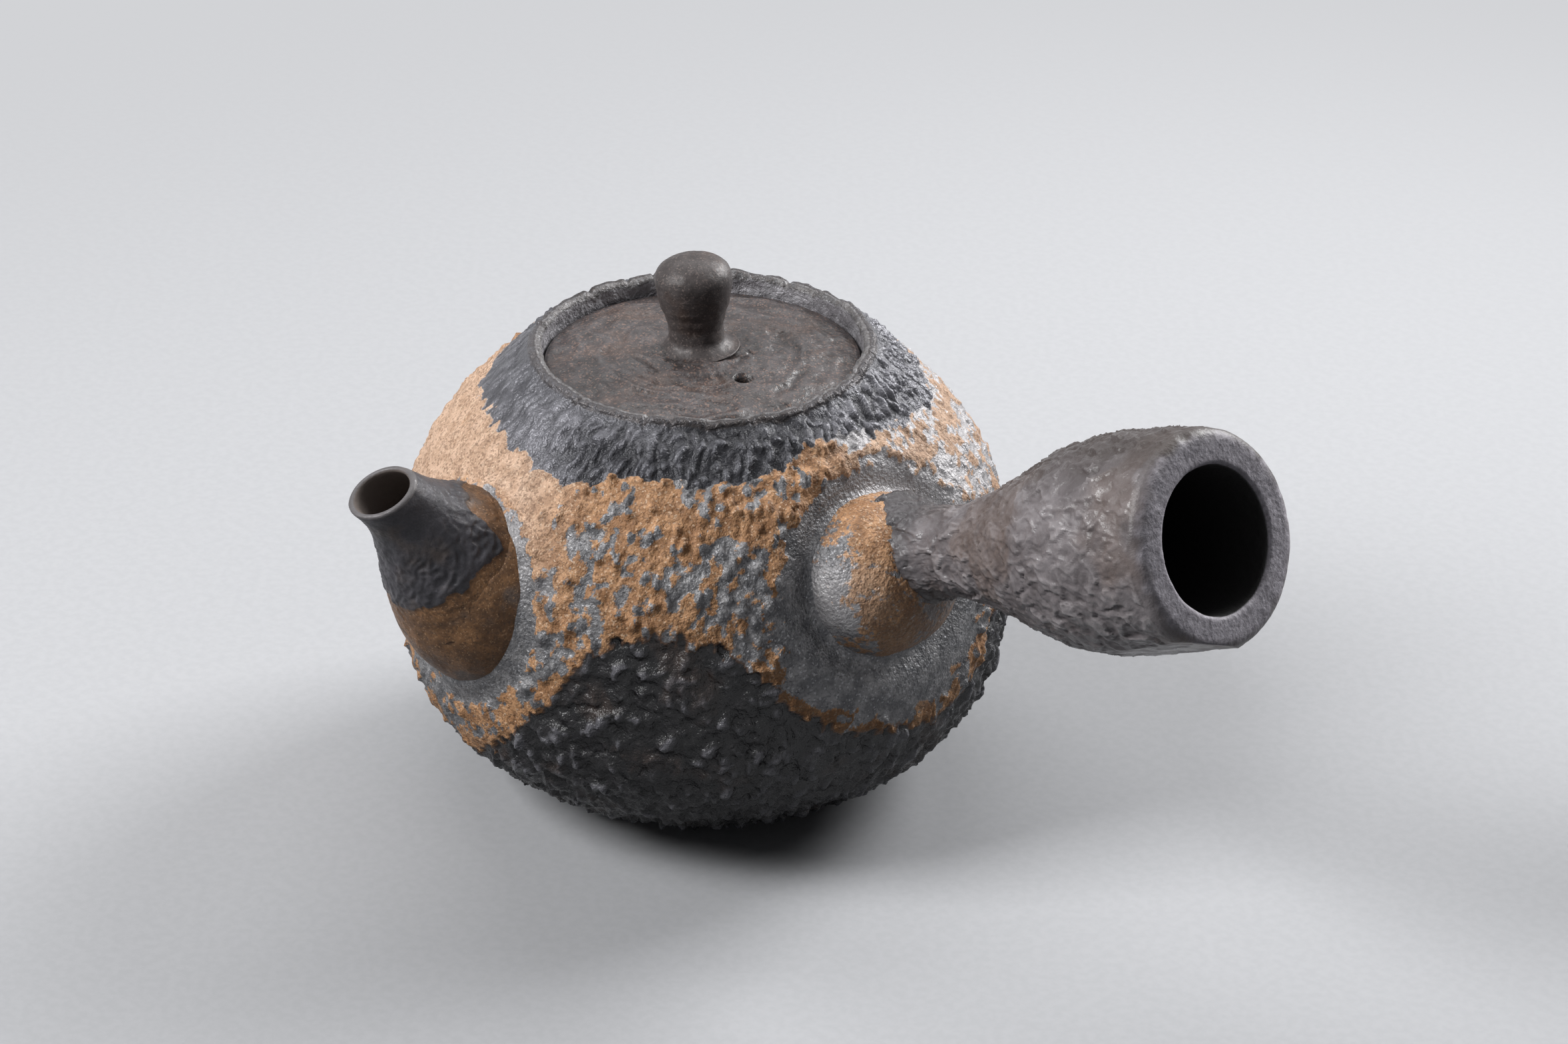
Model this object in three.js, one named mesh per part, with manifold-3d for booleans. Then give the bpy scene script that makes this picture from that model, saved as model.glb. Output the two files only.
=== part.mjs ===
// A small stoneware teapot with a hollow side handle, built as the potter joins it: a thrown body,
// a spout tube set on a swelling, a handle set in a boss, a pierced strainer and a loose lid.
// Sizes are in millimetres. The pot stands on z = 0, its axis is Z and the handle points along +X.
import * as THREE from "three";
import { mergeVertices } from "three/addons/utils/BufferGeometryUtils.js";
import Module from "manifold-3d";

const wasm = await Module();
wasm.setup();

// Clearances
const JOIN_GAP = 0.3; // between pieces that touch: luted joints, and the lid on its ledge
const LID_SIDE_GAP = 0.4; // round the lid's edge
const FLANGE_SIDE_GAP = 0.5; // round the lid's flange, in the mouth

// Pot body
const BODY_RADIUS = 45.2;
const BELLY_HEIGHT = 28.5; // height of the widest ring
const RIM_HEIGHT = 68.6;
const RIM_RADIUS = 25.4; // outside of the lip
const BASE_RADIUS = 22;
const BASE_SLOPE = 34; // degrees, where the wall leaves the base
const SHOULDER_SLOPE = 45; // degrees, where the shoulder reaches the lip
const FOOT_PULL = 0.25; // how strongly the wall holds each slope, as shares of its two heights
const BELLY_PULL_LOW = 0.69;
const BELLY_PULL_HIGH = 0.585;
const SHOULDER_PULL = 0.44;
const BODY_WALL = 2.6;
const FLOOR_THICKNESS = 3.2;
const LIP_WALL = 1.9;
const LIP_ROUND = 0.6;
const LEDGE_WIDTH = 3.3; // how far the lid's ledge stands into the mouth
const LEDGE_THICKNESS = 2;
const LEDGE_DROP = 1.2; // how much lower its underside is where it meets the wall

// Lid
const LID_SUNK = 2.7; // from the lip down to the lid's top edge
const LID_EDGE = 2.2; // thickness at the edge
const LID_RISE = 1.8; // how much higher the top is in the middle
const VENT_RADIUS = 1.3;
const VENT_OFFSET = 11.9;
const VENT_TURN = -14; // degrees from the handle
const FLANGE_DEPTH = 7.5;
const FLANGE_WALL = 2.2;
const FLANGE_ROUND = 0.6;

// Knob
const KNOB_HEIGHT = 14.2;
const KNOB_CAP_RADIUS = 5.65;
const KNOB_CAP_HEIGHT = 3.5; // from the widest ring to the top
const KNOB_NECK_RADIUS = 3.7;
const KNOB_FOOT_RADIUS = 5.2;
const KNOB_FOOT_HEIGHT = 2.4;
const KNOB_FOOT_EDGE = 0.5;
const KNOB_NECK_PULL = 0.3; // how long the stem stays narrow, and wide, as shares of its height
const KNOB_CAP_PULL = 0.4;
const KNOB_OFFSET = 0.8; // how far it stands from the lid's centre
const KNOB_LEAN = 2.2; // degrees, the same way
const KNOB_TURN = 225.6; // degrees from the handle

// Handle, measured along its own line from the pot's axis
const HANDLE_REACH = 105.7;
const HANDLE_TILT = 22.4; // degrees above the horizontal
const HANDLE_LINE_HEIGHT = 31.7; // where its line meets the pot's axis
const HANDLE_RADIUS = 14.9;
const HANDLE_NECK_RADIUS = 6.2;
const HANDLE_BARREL = 14.7; // length of the full-width end
const HANDLE_SWELL = 36; // length over which the neck grows to full width
const HANDLE_ROOT_RADIUS = 7.5;
const HANDLE_ROOT_LENGTH = 5.5; // over which the root narrows to the neck
const HANDLE_BORE_RADIUS = 9.9;
const HANDLE_WALL = 3.4;
const HANDLE_HOLLOW = 44; // depth of the hollow from the end
const HANDLE_END_ROUND = 1.8;
const HANDLE_MOUTH_ROUND = 0.7;
const HANDLE_FLAT_DEPTH = 1.3; // of the flat cut on the end's lower edge
const HANDLE_FLAT_TURN = 157; // degrees round the handle from its top
const HANDLE_FLAT_SLOPE = 4; // degrees from the handle's line

// Handle socket, the boss on the wall that holds the handle's root
const SOCKET_WIDTH = 25.6; // where it meets the wall
const SOCKET_TALL = 22.2;
const SOCKET_PROUD = 5.2; // how far it stands out from the wall
const SOCKET_TURN = -4; // degrees from the handle, round the pot
const SOCKET_HEIGHT = 47.8;
const SOCKET_SEAT = 2; // depth of the seat for the handle's root

// Spout: a round root on the wall, and a tube that curves up from it
const SPOUT_TURN = -97.9; // degrees from the handle, round the pot
const SPOUT_ROOT_RADIUS = 14.4;
const SPOUT_ROOT_HEIGHT = 39.6;
const SPOUT_ROOT_SUNK = 7; // how far the root's centre lies inside the wall
const SPOUT_ROOT_WALL = 3;
const SPOUT_NECK_RADIUS = 12.3; // of the root where the tube starts
const SPOUT_SEAM = 12; // from the root's centre to the tube
const SPOUT_SEAM_ROUND = 1;
const SPOUT_STEP = 2.3; // how much narrower the tube is than the root at the seam
const SPOUT_SET = 1.2; // how far the tube's foot is set out from the root's middle
const SPOUT_REACH = 55; // of the mouth's centre, from the pot's axis
const SPOUT_MOUTH_HEIGHT = 60.1;
const SPOUT_MOUTH_RADIUS = 5.1;
const SPOUT_MOUTH_SLOPE = 64; // degrees above the horizontal, the way the mouth faces
const SPOUT_TUBE_SLOPE = 40; // degrees above the horizontal, the tube's line at the mouth
const SPOUT_TUBE_WALL = 2.2;
const SPOUT_LIP_WALL = 0.9;
const TUBE_TAPER = 2.2; // power of the tube's taper: 1 is a cone

// Strainer, a pierced dome inside the wall behind the spout
const PASSAGE_RADIUS = 8.5; // of the opening in the wall
const STRAINER_SEAT = 2.5; // how far the dome's edge reaches past the opening
const STRAINER_BULGE = 5; // how far it stands into the pot
const STRAINER_WALL = 1.6;
const STRAINER_HOLE_RADIUS = 0.8;
const STRAINER_PITCH = 3.1; // between rings of holes
const STRAINER_RINGS = 3; // round the middle hole

// Facets
const ROUND_BODY = 56;
const ROUND_LID = 48;
const ROUND_KNOB = 24;
const ROUND_HANDLE = 32;
const ROUND_SPOUT = 28;
const ROUND_HOLE = 6;
const WALL_STEPS = 9; // along each half of the wall
const TUBE_STEPS = 8;
const HANDLE_STEPS = 12;
const LID_STEPS = 4;
const BEAD_STEPS = 3; // round a small edge

// Sizes that follow
const lipInside = RIM_RADIUS - LIP_WALL;
const lidRadius = lipInside - LID_SIDE_GAP;
const lidTopEdge = RIM_HEIGHT - LID_SUNK;
const lidUnderside = lidTopEdge - LID_EDGE;
const lidCrown = lidTopEdge + LID_RISE;
const ledgeHeight = lidUnderside - JOIN_GAP;
const mouthRadius = lipInside - LEDGE_WIDTH;
const flangeRadius = mouthRadius - FLANGE_SIDE_GAP;
const knobLean = THREE.MathUtils.degToRad(KNOB_LEAN);
const handleTilt = THREE.MathUtils.degToRad(HANDLE_TILT);

// How far a cutter runs past the face that it cuts
const PAST = 2;

// Shapes

const UP = new THREE.Vector3(0, 0, 1);
const point = (r, z) => new THREE.Vector2(r, z);

function pointAt(from, slopeDegrees, length) {
  const slope = THREE.MathUtils.degToRad(slopeDegrees);
  return point(from.x + length * Math.cos(slope), from.y + length * Math.sin(slope));
}

// Part of an ellipse between two angles in degrees, as points.
function arc(centre, radiusX, radiusY, start, end, steps) {
  const [a, b] = [start, end].map(THREE.MathUtils.degToRad);
  const curve = new THREE.EllipseCurve(centre.x, centre.y, radiusX, radiusY, a, b, end < start);
  return curve.getPoints(steps);
}

// The manifold solid of a closed three.js geometry.
function solidOf(geometry) {
  const bare = geometry.index ? geometry.toNonIndexed() : geometry.clone();
  bare.deleteAttribute("normal");
  bare.deleteAttribute("uv");
  const merged = mergeVertices(bare, 1e-4);
  return new wasm.Manifold(
    new wasm.Mesh({
      numProp: 3,
      vertProperties: merged.attributes.position.array,
      triVerts: new Uint32Array(merged.index.array),
    }),
  );
}

function geometryOf(solid) {
  const mesh = solid.getMesh();
  const geometry = new THREE.BufferGeometry();
  geometry.setAttribute("position", new THREE.BufferAttribute(mesh.vertProperties, 3));
  geometry.setIndex(new THREE.BufferAttribute(mesh.triVerts, 1));
  geometry.computeVertexNormals();
  return geometry;
}

// A profile of radius and height, turned about Z. It runs up the outside, from the axis to the axis.
function turned(profile, facets) {
  return new THREE.LatheGeometry(profile, facets).rotateX(Math.PI / 2);
}

// A rod about Z between two heights.
function rod(radius, low, high, facets) {
  return turned([point(0, low), point(radius, low), point(radius, high), point(0, high)], facets);
}

// A solid round rod along a curve in the XZ plane, with a radius that changes on the way.
// Its rings face from the first way round to the last, and past its two ends it runs straight on.
function swept(curve, firstWay, lastWay, radiusOf, past) {
  const rings = [];
  for (let i = 0; i <= TUBE_STEPS; i++) {
    const share = i / TUBE_STEPS;
    const way = firstWay.clone().lerp(lastWay, share).normalize();
    rings.push({ centre: curve.getPoint(share), way, radius: radiusOf(share) });
  }
  const [first, last] = [rings[0], rings[TUBE_STEPS]];
  if (past > 0) {
    rings.unshift({ ...first, centre: first.centre.clone().addScaledVector(first.way, -past) });
    rings.push({ ...last, centre: last.centre.clone().addScaledVector(last.way, past) });
  }
  const positions = [];
  const side = new THREE.Vector3(0, 1, 0);
  for (const ring of rings) {
    const across = new THREE.Vector3().crossVectors(side, ring.way);
    for (let k = 0; k < ROUND_SPOUT; k++) {
      const angle = (2 * Math.PI * k) / ROUND_SPOUT;
      const corner = ring.centre.clone().addScaledVector(across, ring.radius * Math.cos(angle));
      corner.addScaledVector(side, ring.radius * Math.sin(angle));
      positions.push(...corner);
    }
  }
  const lastRing = (rings.length - 1) * ROUND_SPOUT;
  const startCap = lastRing + ROUND_SPOUT;
  positions.push(...rings[0].centre, ...rings[rings.length - 1].centre);
  const index = [];
  for (let k = 0; k < ROUND_SPOUT; k++) {
    const next = (k + 1) % ROUND_SPOUT;
    for (let a = 0; a < lastRing; a += ROUND_SPOUT) {
      const b = a + ROUND_SPOUT;
      index.push(a + k, a + next, b + k, a + next, b + next, b + k);
    }
    index.push(startCap, next, k, startCap + 1, lastRing + k, lastRing + next);
  }
  const geometry = new THREE.BufferGeometry();
  geometry.setAttribute("position", new THREE.Float32BufferAttribute(positions, 3));
  geometry.setIndex(index);
  return geometry;
}

// The same points moved to the left of the way that they run, by a distance.
function movedIn(profile, distance) {
  return profile.map((here, i) => {
    const before = profile[Math.max(i - 1, 0)];
    const after = profile[Math.min(i + 1, profile.length - 1)];
    const way = after.clone().sub(before).normalize();
    return point(here.x - distance * way.y, here.y + distance * way.x);
  });
}

// A rising profile's radius at a height.
function radiusAt(profile, height) {
  const i = profile.findIndex((p) => p.y > height);
  const share = (height - profile[i - 1].y) / (profile[i].y - profile[i - 1].y);
  return THREE.MathUtils.lerp(profile[i - 1].x, profile[i].x, share);
}

// A frame in the part, and a geometry of the part seen from it.
function frameAt(position, rotationY, rotationZ) {
  const frame = new THREE.Group();
  frame.position.copy(position);
  frame.rotation.set(0, rotationY, rotationZ, "ZYX");
  frame.updateMatrixWorld();
  return frame;
}

function seenFrom(frame, geometry) {
  return geometry.applyMatrix4(frame.matrixWorld.clone().invert());
}

function meshOf(name, geometry, material) {
  const mesh = new THREE.Mesh(geometry, material);
  mesh.name = name;
  return mesh;
}

// Pot body

// Outside of the wall, from the base to the lip.
function wallProfile() {
  const base = point(BASE_RADIUS, 0);
  const belly = point(BODY_RADIUS, BELLY_HEIGHT);
  const lip = point(RIM_RADIUS, RIM_HEIGHT - LIP_ROUND);
  const above = RIM_HEIGHT - BELLY_HEIGHT;
  const lower = new THREE.CubicBezierCurve(
    base,
    pointAt(base, BASE_SLOPE, FOOT_PULL * BELLY_HEIGHT),
    point(BODY_RADIUS, (1 - BELLY_PULL_LOW) * BELLY_HEIGHT),
    belly,
  );
  const upper = new THREE.CubicBezierCurve(
    belly,
    point(BODY_RADIUS, BELLY_HEIGHT + BELLY_PULL_HIGH * above),
    pointAt(lip, -SHOULDER_SLOPE, SHOULDER_PULL * above),
    lip,
  );
  return [...lower.getPoints(WALL_STEPS), ...upper.getPoints(WALL_STEPS).slice(1)];
}

// The pot's outside as one full solid, grown by a distance.
function fullPot(grown) {
  const wall = movedIn(wallProfile(), -grown);
  const low = point(BASE_RADIUS, -grown);
  return turned([point(0, -grown), low, ...wall, point(0, RIM_HEIGHT + grown)], ROUND_BODY);
}

// The room inside the wall, from the floor to the ledge's underside, shrunk by a distance.
function potRoom(shrunk) {
  const floor = FLOOR_THICKNESS + shrunk;
  const ceiling = ledgeHeight - LEDGE_THICKNESS - shrunk;
  const inside = movedIn(wallProfile(), BODY_WALL + shrunk);
  const wall = inside.filter((p) => p.y > floor && p.y < ceiling - LEDGE_DROP);
  const corner = point(radiusAt(inside, floor), floor);
  const top = [point(mouthRadius, ceiling), point(0, ceiling)];
  return turned([point(0, floor), corner, ...wall, ...top], ROUND_BODY);
}

function potBody() {
  const lipCentre = point(RIM_RADIUS - LIP_ROUND, RIM_HEIGHT - LIP_ROUND);
  const lip = arc(lipCentre, LIP_ROUND, LIP_ROUND, 0, 90, BEAD_STEPS);
  const outside = [point(0, 0), ...wallProfile(), ...lip.slice(1), point(0, RIM_HEIGHT)];
  const lidSpace = [
    point(0, ledgeHeight),
    point(lipInside, ledgeHeight),
    point(lipInside, RIM_HEIGHT - LIP_ROUND),
    point(lipInside + LIP_ROUND, RIM_HEIGHT),
    point(lipInside + LIP_ROUND, RIM_HEIGHT + PAST),
    point(0, RIM_HEIGHT + PAST),
  ];
  return solidOf(turned(outside, ROUND_BODY))
    .subtract(solidOf(potRoom(0)))
    .subtract(solidOf(rod(mouthRadius, ledgeHeight - LEDGE_THICKNESS - PAST, RIM_HEIGHT, ROUND_BODY)))
    .subtract(solidOf(turned(lidSpace, ROUND_BODY)))
    .subtract(solidOf(passage().applyMatrix4(spoutFrame.matrixWorld)));
}

// Spout and strainer, drawn over the spout's direction: X runs out from the pot's axis, Z is up

const spoutFrame = frameAt(new THREE.Vector3(), 0, THREE.MathUtils.degToRad(SPOUT_TURN));
const wallAtSpout = radiusAt(wallProfile(), SPOUT_ROOT_HEIGHT);
const rootCentre = new THREE.Vector3(wallAtSpout - SPOUT_ROOT_SUNK, 0, SPOUT_ROOT_HEIGHT);
const spoutMouth = new THREE.Vector3(SPOUT_REACH, 0, SPOUT_MOUTH_HEIGHT);
const rootWay = spoutMouth.clone().sub(rootCentre).normalize();
const mouthWay = slopeWay(SPOUT_MOUTH_SLOPE);

// The way out from the pot's axis that rises at a slope.
function slopeWay(degrees) {
  const slope = THREE.MathUtils.degToRad(degrees);
  return new THREE.Vector3(Math.cos(slope), 0, Math.sin(slope));
}

// A geometry made about Z, laid along a direction from a place.
function laid(geometry, way, from) {
  const turn = new THREE.Quaternion().setFromUnitVectors(UP, way);
  return geometry.applyQuaternion(turn).translate(...from);
}

// The opening in the wall behind the spout.
function passage() {
  const hole = rod(PASSAGE_RADIUS, wallAtSpout - BODY_WALL - PAST, wallAtSpout + PAST, ROUND_SPOUT);
  return laid(hole, new THREE.Vector3(1, 0, 0), [0, 0, SPOUT_ROOT_HEIGHT]);
}

// A ball whose sides run straight to the neck at the seam, smaller by a wall.
function rootShape(less, past) {
  const ball = SPOUT_ROOT_RADIUS - less;
  const neck = SPOUT_NECK_RADIUS - less;
  const seam = SPOUT_SEAM + past;
  const toNeck = Math.atan2(SPOUT_SEAM, neck);
  const touch = toNeck - Math.acos(Math.min(1, ball / Math.hypot(neck, SPOUT_SEAM)));
  const round = arc(point(0, 0), ball, ball, -90, THREE.MathUtils.radToDeg(touch), WALL_STEPS);
  const beadCentre = point(neck - SPOUT_SEAM_ROUND, seam - SPOUT_SEAM_ROUND);
  const bead = arc(beadCentre, SPOUT_SEAM_ROUND, SPOUT_SEAM_ROUND, 0, 90, BEAD_STEPS);
  const profile = [point(0, -ball), ...round.slice(1), ...bead, point(0, seam)];
  return laid(turned(profile, ROUND_SPOUT), rootWay, rootCentre);
}

function spoutRoot() {
  return solidOf(rootShape(0, 0))
    .subtract(solidOf(rootShape(SPOUT_ROOT_WALL, PAST)))
    .subtract(solidOf(seenFrom(spoutFrame, fullPot(JOIN_GAP))));
}

// The tube's line, from the seam to the mouth.
function tubeLine() {
  const outward = new THREE.Vector3(rootWay.z, 0, -rootWay.x);
  const start = rootCentre.clone().addScaledVector(rootWay, SPOUT_SEAM + JOIN_GAP);
  start.addScaledVector(outward, SPOUT_SET);
  const third = start.distanceTo(spoutMouth) / 3;
  const first = start.clone().addScaledVector(rootWay, third);
  const second = spoutMouth.clone().addScaledVector(slopeWay(SPOUT_TUBE_SLOPE), -third);
  return new THREE.CubicBezierCurve3(start, first, second, spoutMouth);
}

// The tube narrows fast at first and hardly at all at the mouth.
function tubeRadius(share) {
  const wide = SPOUT_NECK_RADIUS - SPOUT_STEP;
  return SPOUT_MOUTH_RADIUS + (wide - SPOUT_MOUTH_RADIUS) * (1 - share) ** TUBE_TAPER;
}

function tubeBore(share) {
  return tubeRadius(share) - THREE.MathUtils.lerp(SPOUT_TUBE_WALL, SPOUT_LIP_WALL, share);
}

function spoutTube() {
  return solidOf(swept(tubeLine(), rootWay, mouthWay, tubeRadius, 0))
    .subtract(solidOf(swept(tubeLine(), rootWay, mouthWay, tubeBore, PAST)))
    .subtract(solidOf(seenFrom(spoutFrame, fullPot(JOIN_GAP))));
}

function strainer() {
  const edge = PASSAGE_RADIUS + STRAINER_SEAT;
  const radius = (edge ** 2 + STRAINER_BULGE ** 2) / (2 * STRAINER_BULGE);
  const top = wallAtSpout - BODY_WALL - STRAINER_BULGE;
  const centre = new THREE.Vector3(top + radius, 0, SPOUT_ROOT_HEIGHT);
  const ball = (size) => {
    const half = arc(point(0, 0), size, size, -90, 90, ROUND_SPOUT / 2);
    const profile = [point(0, -size), ...half.slice(1, -1), point(0, size)];
    return solidOf(laid(turned(profile, ROUND_SPOUT), new THREE.Vector3(1, 0, 0), centre));
  };
  let dome = ball(radius).subtract(ball(radius - STRAINER_WALL));
  dome = dome.intersect(solidOf(seenFrom(spoutFrame, potRoom(JOIN_GAP))));
  for (let ring = 0; ring <= STRAINER_RINGS; ring++) {
    const lean = (ring * STRAINER_PITCH) / radius;
    const count = Math.max(1, 6 * ring);
    for (let i = 0; i < count; i++) {
      const turn = (2 * Math.PI * i) / count;
      const across = new THREE.Vector3(0, Math.cos(turn), Math.sin(turn)).multiplyScalar(Math.sin(lean));
      const way = new THREE.Vector3(-Math.cos(lean), 0, 0).add(across);
      const hole = rod(STRAINER_HOLE_RADIUS, radius - STRAINER_WALL - PAST, radius + PAST, ROUND_HOLE);
      dome = dome.subtract(solidOf(laid(hole, way, centre)));
    }
  }
  return dome;
}

// Handle and its socket

const handleFrame = frameAt(new THREE.Vector3(0, 0, HANDLE_LINE_HEIGHT), Math.PI / 2 - handleTilt, 0);
const socketBase = new THREE.Vector3(radiusAt(wallProfile(), SOCKET_HEIGHT), 0, SOCKET_HEIGHT);
const socketTurn = THREE.MathUtils.degToRad(SOCKET_TURN);
socketBase.applyAxisAngle(UP, socketTurn);
const handleStart = handleFrame.worldToLocal(socketBase.clone()).z + SOCKET_PROUD - SOCKET_SEAT;

// The handle's outside radius along its line: root, neck, swell and barrel.
function handleRadius(along) {
  const swellEnd = HANDLE_REACH - HANDLE_BARREL;
  const swell = THREE.MathUtils.smoothstep(along, swellEnd - HANDLE_SWELL, swellEnd);
  const root = Math.max(0, 1 - (along - handleStart) / HANDLE_ROOT_LENGTH);
  const widening = (HANDLE_ROOT_RADIUS - HANDLE_NECK_RADIUS) * root ** 2;
  return HANDLE_NECK_RADIUS + (HANDLE_RADIUS - HANDLE_NECK_RADIUS) * swell + widening;
}

function handle() {
  const end = HANDLE_REACH;
  const edge = end - HANDLE_END_ROUND;
  const outside = [point(0, handleStart)];
  for (let i = 0; i <= HANDLE_STEPS; i++) {
    const along = THREE.MathUtils.lerp(handleStart, edge, i / HANDLE_STEPS);
    outside.push(point(handleRadius(along), along));
  }
  const beadCentre = point(HANDLE_RADIUS - HANDLE_END_ROUND, edge);
  const bead = arc(beadCentre, HANDLE_END_ROUND, HANDLE_END_ROUND, 0, 90, BEAD_STEPS);
  outside.push(...bead.slice(1), point(0, end));
  const deep = end - HANDLE_HOLLOW;
  const inside = [point(0, deep)];
  for (let i = 0; i <= HANDLE_STEPS; i++) {
    const along = THREE.MathUtils.lerp(deep, end - HANDLE_MOUTH_ROUND, i / HANDLE_STEPS);
    inside.push(point(Math.min(HANDLE_BORE_RADIUS, handleRadius(along) - HANDLE_WALL), along));
  }
  const flare = HANDLE_BORE_RADIUS + HANDLE_MOUTH_ROUND;
  inside.push(point(flare, end), point(flare, end + PAST), point(0, end + PAST));
  return solidOf(turned(outside, ROUND_HANDLE))
    .subtract(solidOf(turned(inside, ROUND_HANDLE)))
    .subtract(solidOf(endFlat()));
}

// The block that cuts the flat, its face leaning in towards the handle's end.
function endFlat() {
  const size = 2 * HANDLE_RADIUS;
  const block = new THREE.BoxGeometry(size, size, size).translate(-size / 2, 0, 0);
  block.rotateY(THREE.MathUtils.degToRad(HANDLE_FLAT_SLOPE));
  block.translate(HANDLE_FLAT_DEPTH - HANDLE_RADIUS, 0, HANDLE_REACH);
  return block.rotateZ(-THREE.MathUtils.degToRad(HANDLE_FLAT_TURN));
}

// A flattened ball, half in the wall.
function handleSocket() {
  const half = arc(point(0, 0), 1, 1, -90, 90, ROUND_SPOUT / 2);
  const ball = turned([point(0, -1), ...half.slice(1, -1), point(0, 1)], ROUND_HANDLE);
  ball.scale(SOCKET_TALL / 2, SOCKET_WIDTH / 2, SOCKET_PROUD);
  ball.rotateY(Math.PI / 2 - handleTilt).rotateZ(socketTurn).translate(...socketBase);
  const seat = rod(HANDLE_ROOT_RADIUS + JOIN_GAP, handleStart - JOIN_GAP, HANDLE_REACH, ROUND_HANDLE);
  return solidOf(ball)
    .subtract(solidOf(fullPot(JOIN_GAP)))
    .subtract(solidOf(seat.applyMatrix4(handleFrame.matrixWorld)));
}

// Lid

// Height of the lid's top at a distance from its centre.
const lidTop = (r) => lidTopEdge + LID_RISE * (1 - (r / lidRadius) ** 2);

function lidPlate() {
  const profile = [point(0, lidUnderside), point(lidRadius, lidUnderside)];
  for (let i = 0; i <= LID_STEPS; i++) {
    const r = lidRadius * (1 - i / LID_STEPS);
    profile.push(point(r, lidTop(r)));
  }
  const turn = THREE.MathUtils.degToRad(VENT_TURN);
  const vent = rod(VENT_RADIUS, lidUnderside - PAST, lidCrown + PAST, 2 * ROUND_HOLE);
  vent.translate(VENT_OFFSET * Math.cos(turn), VENT_OFFSET * Math.sin(turn), 0);
  return solidOf(turned(profile, ROUND_LID)).subtract(solidOf(vent));
}

function lidFlange() {
  const top = lidUnderside - JOIN_GAP;
  const low = top - FLANGE_DEPTH;
  const inside = flangeRadius - FLANGE_WALL;
  return turned(
    [
      point(inside, low + FLANGE_ROUND),
      point(inside + FLANGE_ROUND, low),
      point(flangeRadius - FLANGE_ROUND, low),
      point(flangeRadius, low + FLANGE_ROUND),
      point(flangeRadius, top),
      point(inside, top),
      point(inside, low + FLANGE_ROUND),
    ],
    ROUND_LID,
  );
}

function lidKnob() {
  const capLow = KNOB_HEIGHT - KNOB_CAP_HEIGHT;
  const stemHeight = (share) => THREE.MathUtils.lerp(KNOB_FOOT_HEIGHT, capLow, share);
  const stem = new THREE.CubicBezierCurve(
    point(KNOB_NECK_RADIUS, KNOB_FOOT_HEIGHT),
    point(KNOB_NECK_RADIUS, stemHeight(KNOB_NECK_PULL)),
    point(KNOB_CAP_RADIUS, stemHeight(1 - KNOB_CAP_PULL)),
    point(KNOB_CAP_RADIUS, capLow),
  );
  const foot = arc(
    point(KNOB_FOOT_RADIUS, KNOB_FOOT_HEIGHT),
    KNOB_FOOT_RADIUS - KNOB_NECK_RADIUS,
    KNOB_FOOT_HEIGHT - KNOB_FOOT_EDGE,
    270,
    180,
    BEAD_STEPS,
  );
  const dome = arc(point(0, capLow), KNOB_CAP_RADIUS, KNOB_CAP_HEIGHT, 0, 90, 2 * BEAD_STEPS);
  return turned(
    [
      point(0, 0),
      point(KNOB_FOOT_RADIUS, 0),
      ...foot,
      ...stem.getPoints(2 * BEAD_STEPS).slice(1),
      ...dome.slice(1, -1),
      point(0, KNOB_HEIGHT),
    ],
    ROUND_KNOB,
  );
}

// The teapot

const clay = (color, roughness) => new THREE.MeshStandardMaterial({ color, roughness, metalness: 0 });
const charcoal = clay(0x3c3c40, 0.6);
const teapot = new THREE.Group();
teapot.add(meshOf("pot_body", geometryOf(potBody()), clay(0x9a7450, 0.75)));

spoutFrame.add(meshOf("spout_root", geometryOf(spoutRoot()), clay(0x6b4a2e, 0.6)));
spoutFrame.add(meshOf("spout", geometryOf(spoutTube()), charcoal));
spoutFrame.add(meshOf("strainer", geometryOf(strainer()), clay(0x50484a, 0.85)));
teapot.add(spoutFrame);

handleFrame.add(meshOf("handle", geometryOf(handle()), clay(0x5c544f, 0.8)));
teapot.add(handleFrame);
teapot.add(meshOf("handle_socket", geometryOf(handleSocket()), clay(0x8a6a4c, 0.7)));

const lid = new THREE.Group();
lid.add(meshOf("lid_plate", geometryOf(lidPlate()), clay(0x4a403c, 0.8)));
lid.add(meshOf("lid_flange", lidFlange(), clay(0x453c39, 0.85)));
const knob = meshOf("lid_knob", lidKnob(), clay(0x544945, 0.75));
const knobTurn = THREE.MathUtils.degToRad(KNOB_TURN);
const knobSeat = lidCrown + JOIN_GAP + KNOB_FOOT_RADIUS * Math.sin(knobLean);
knob.position.set(KNOB_OFFSET * Math.cos(knobTurn), KNOB_OFFSET * Math.sin(knobTurn), knobSeat);
knob.rotation.set(0, knobLean, knobTurn, "ZYX");
lid.add(knob);
teapot.add(lid);

export default teapot;
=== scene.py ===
"""A small unglazed stoneware teapot with a hollow side handle, on a plain pale floor.

Shapes are worked out in millimetres in the part's frame and turned into metres when a mesh is made.
The handle points along +X, the pot stands on z = 0 and its axis is Z.
"""
import itertools
import math

import bpy
import numpy as np
from mathutils import Matrix, Vector


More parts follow.
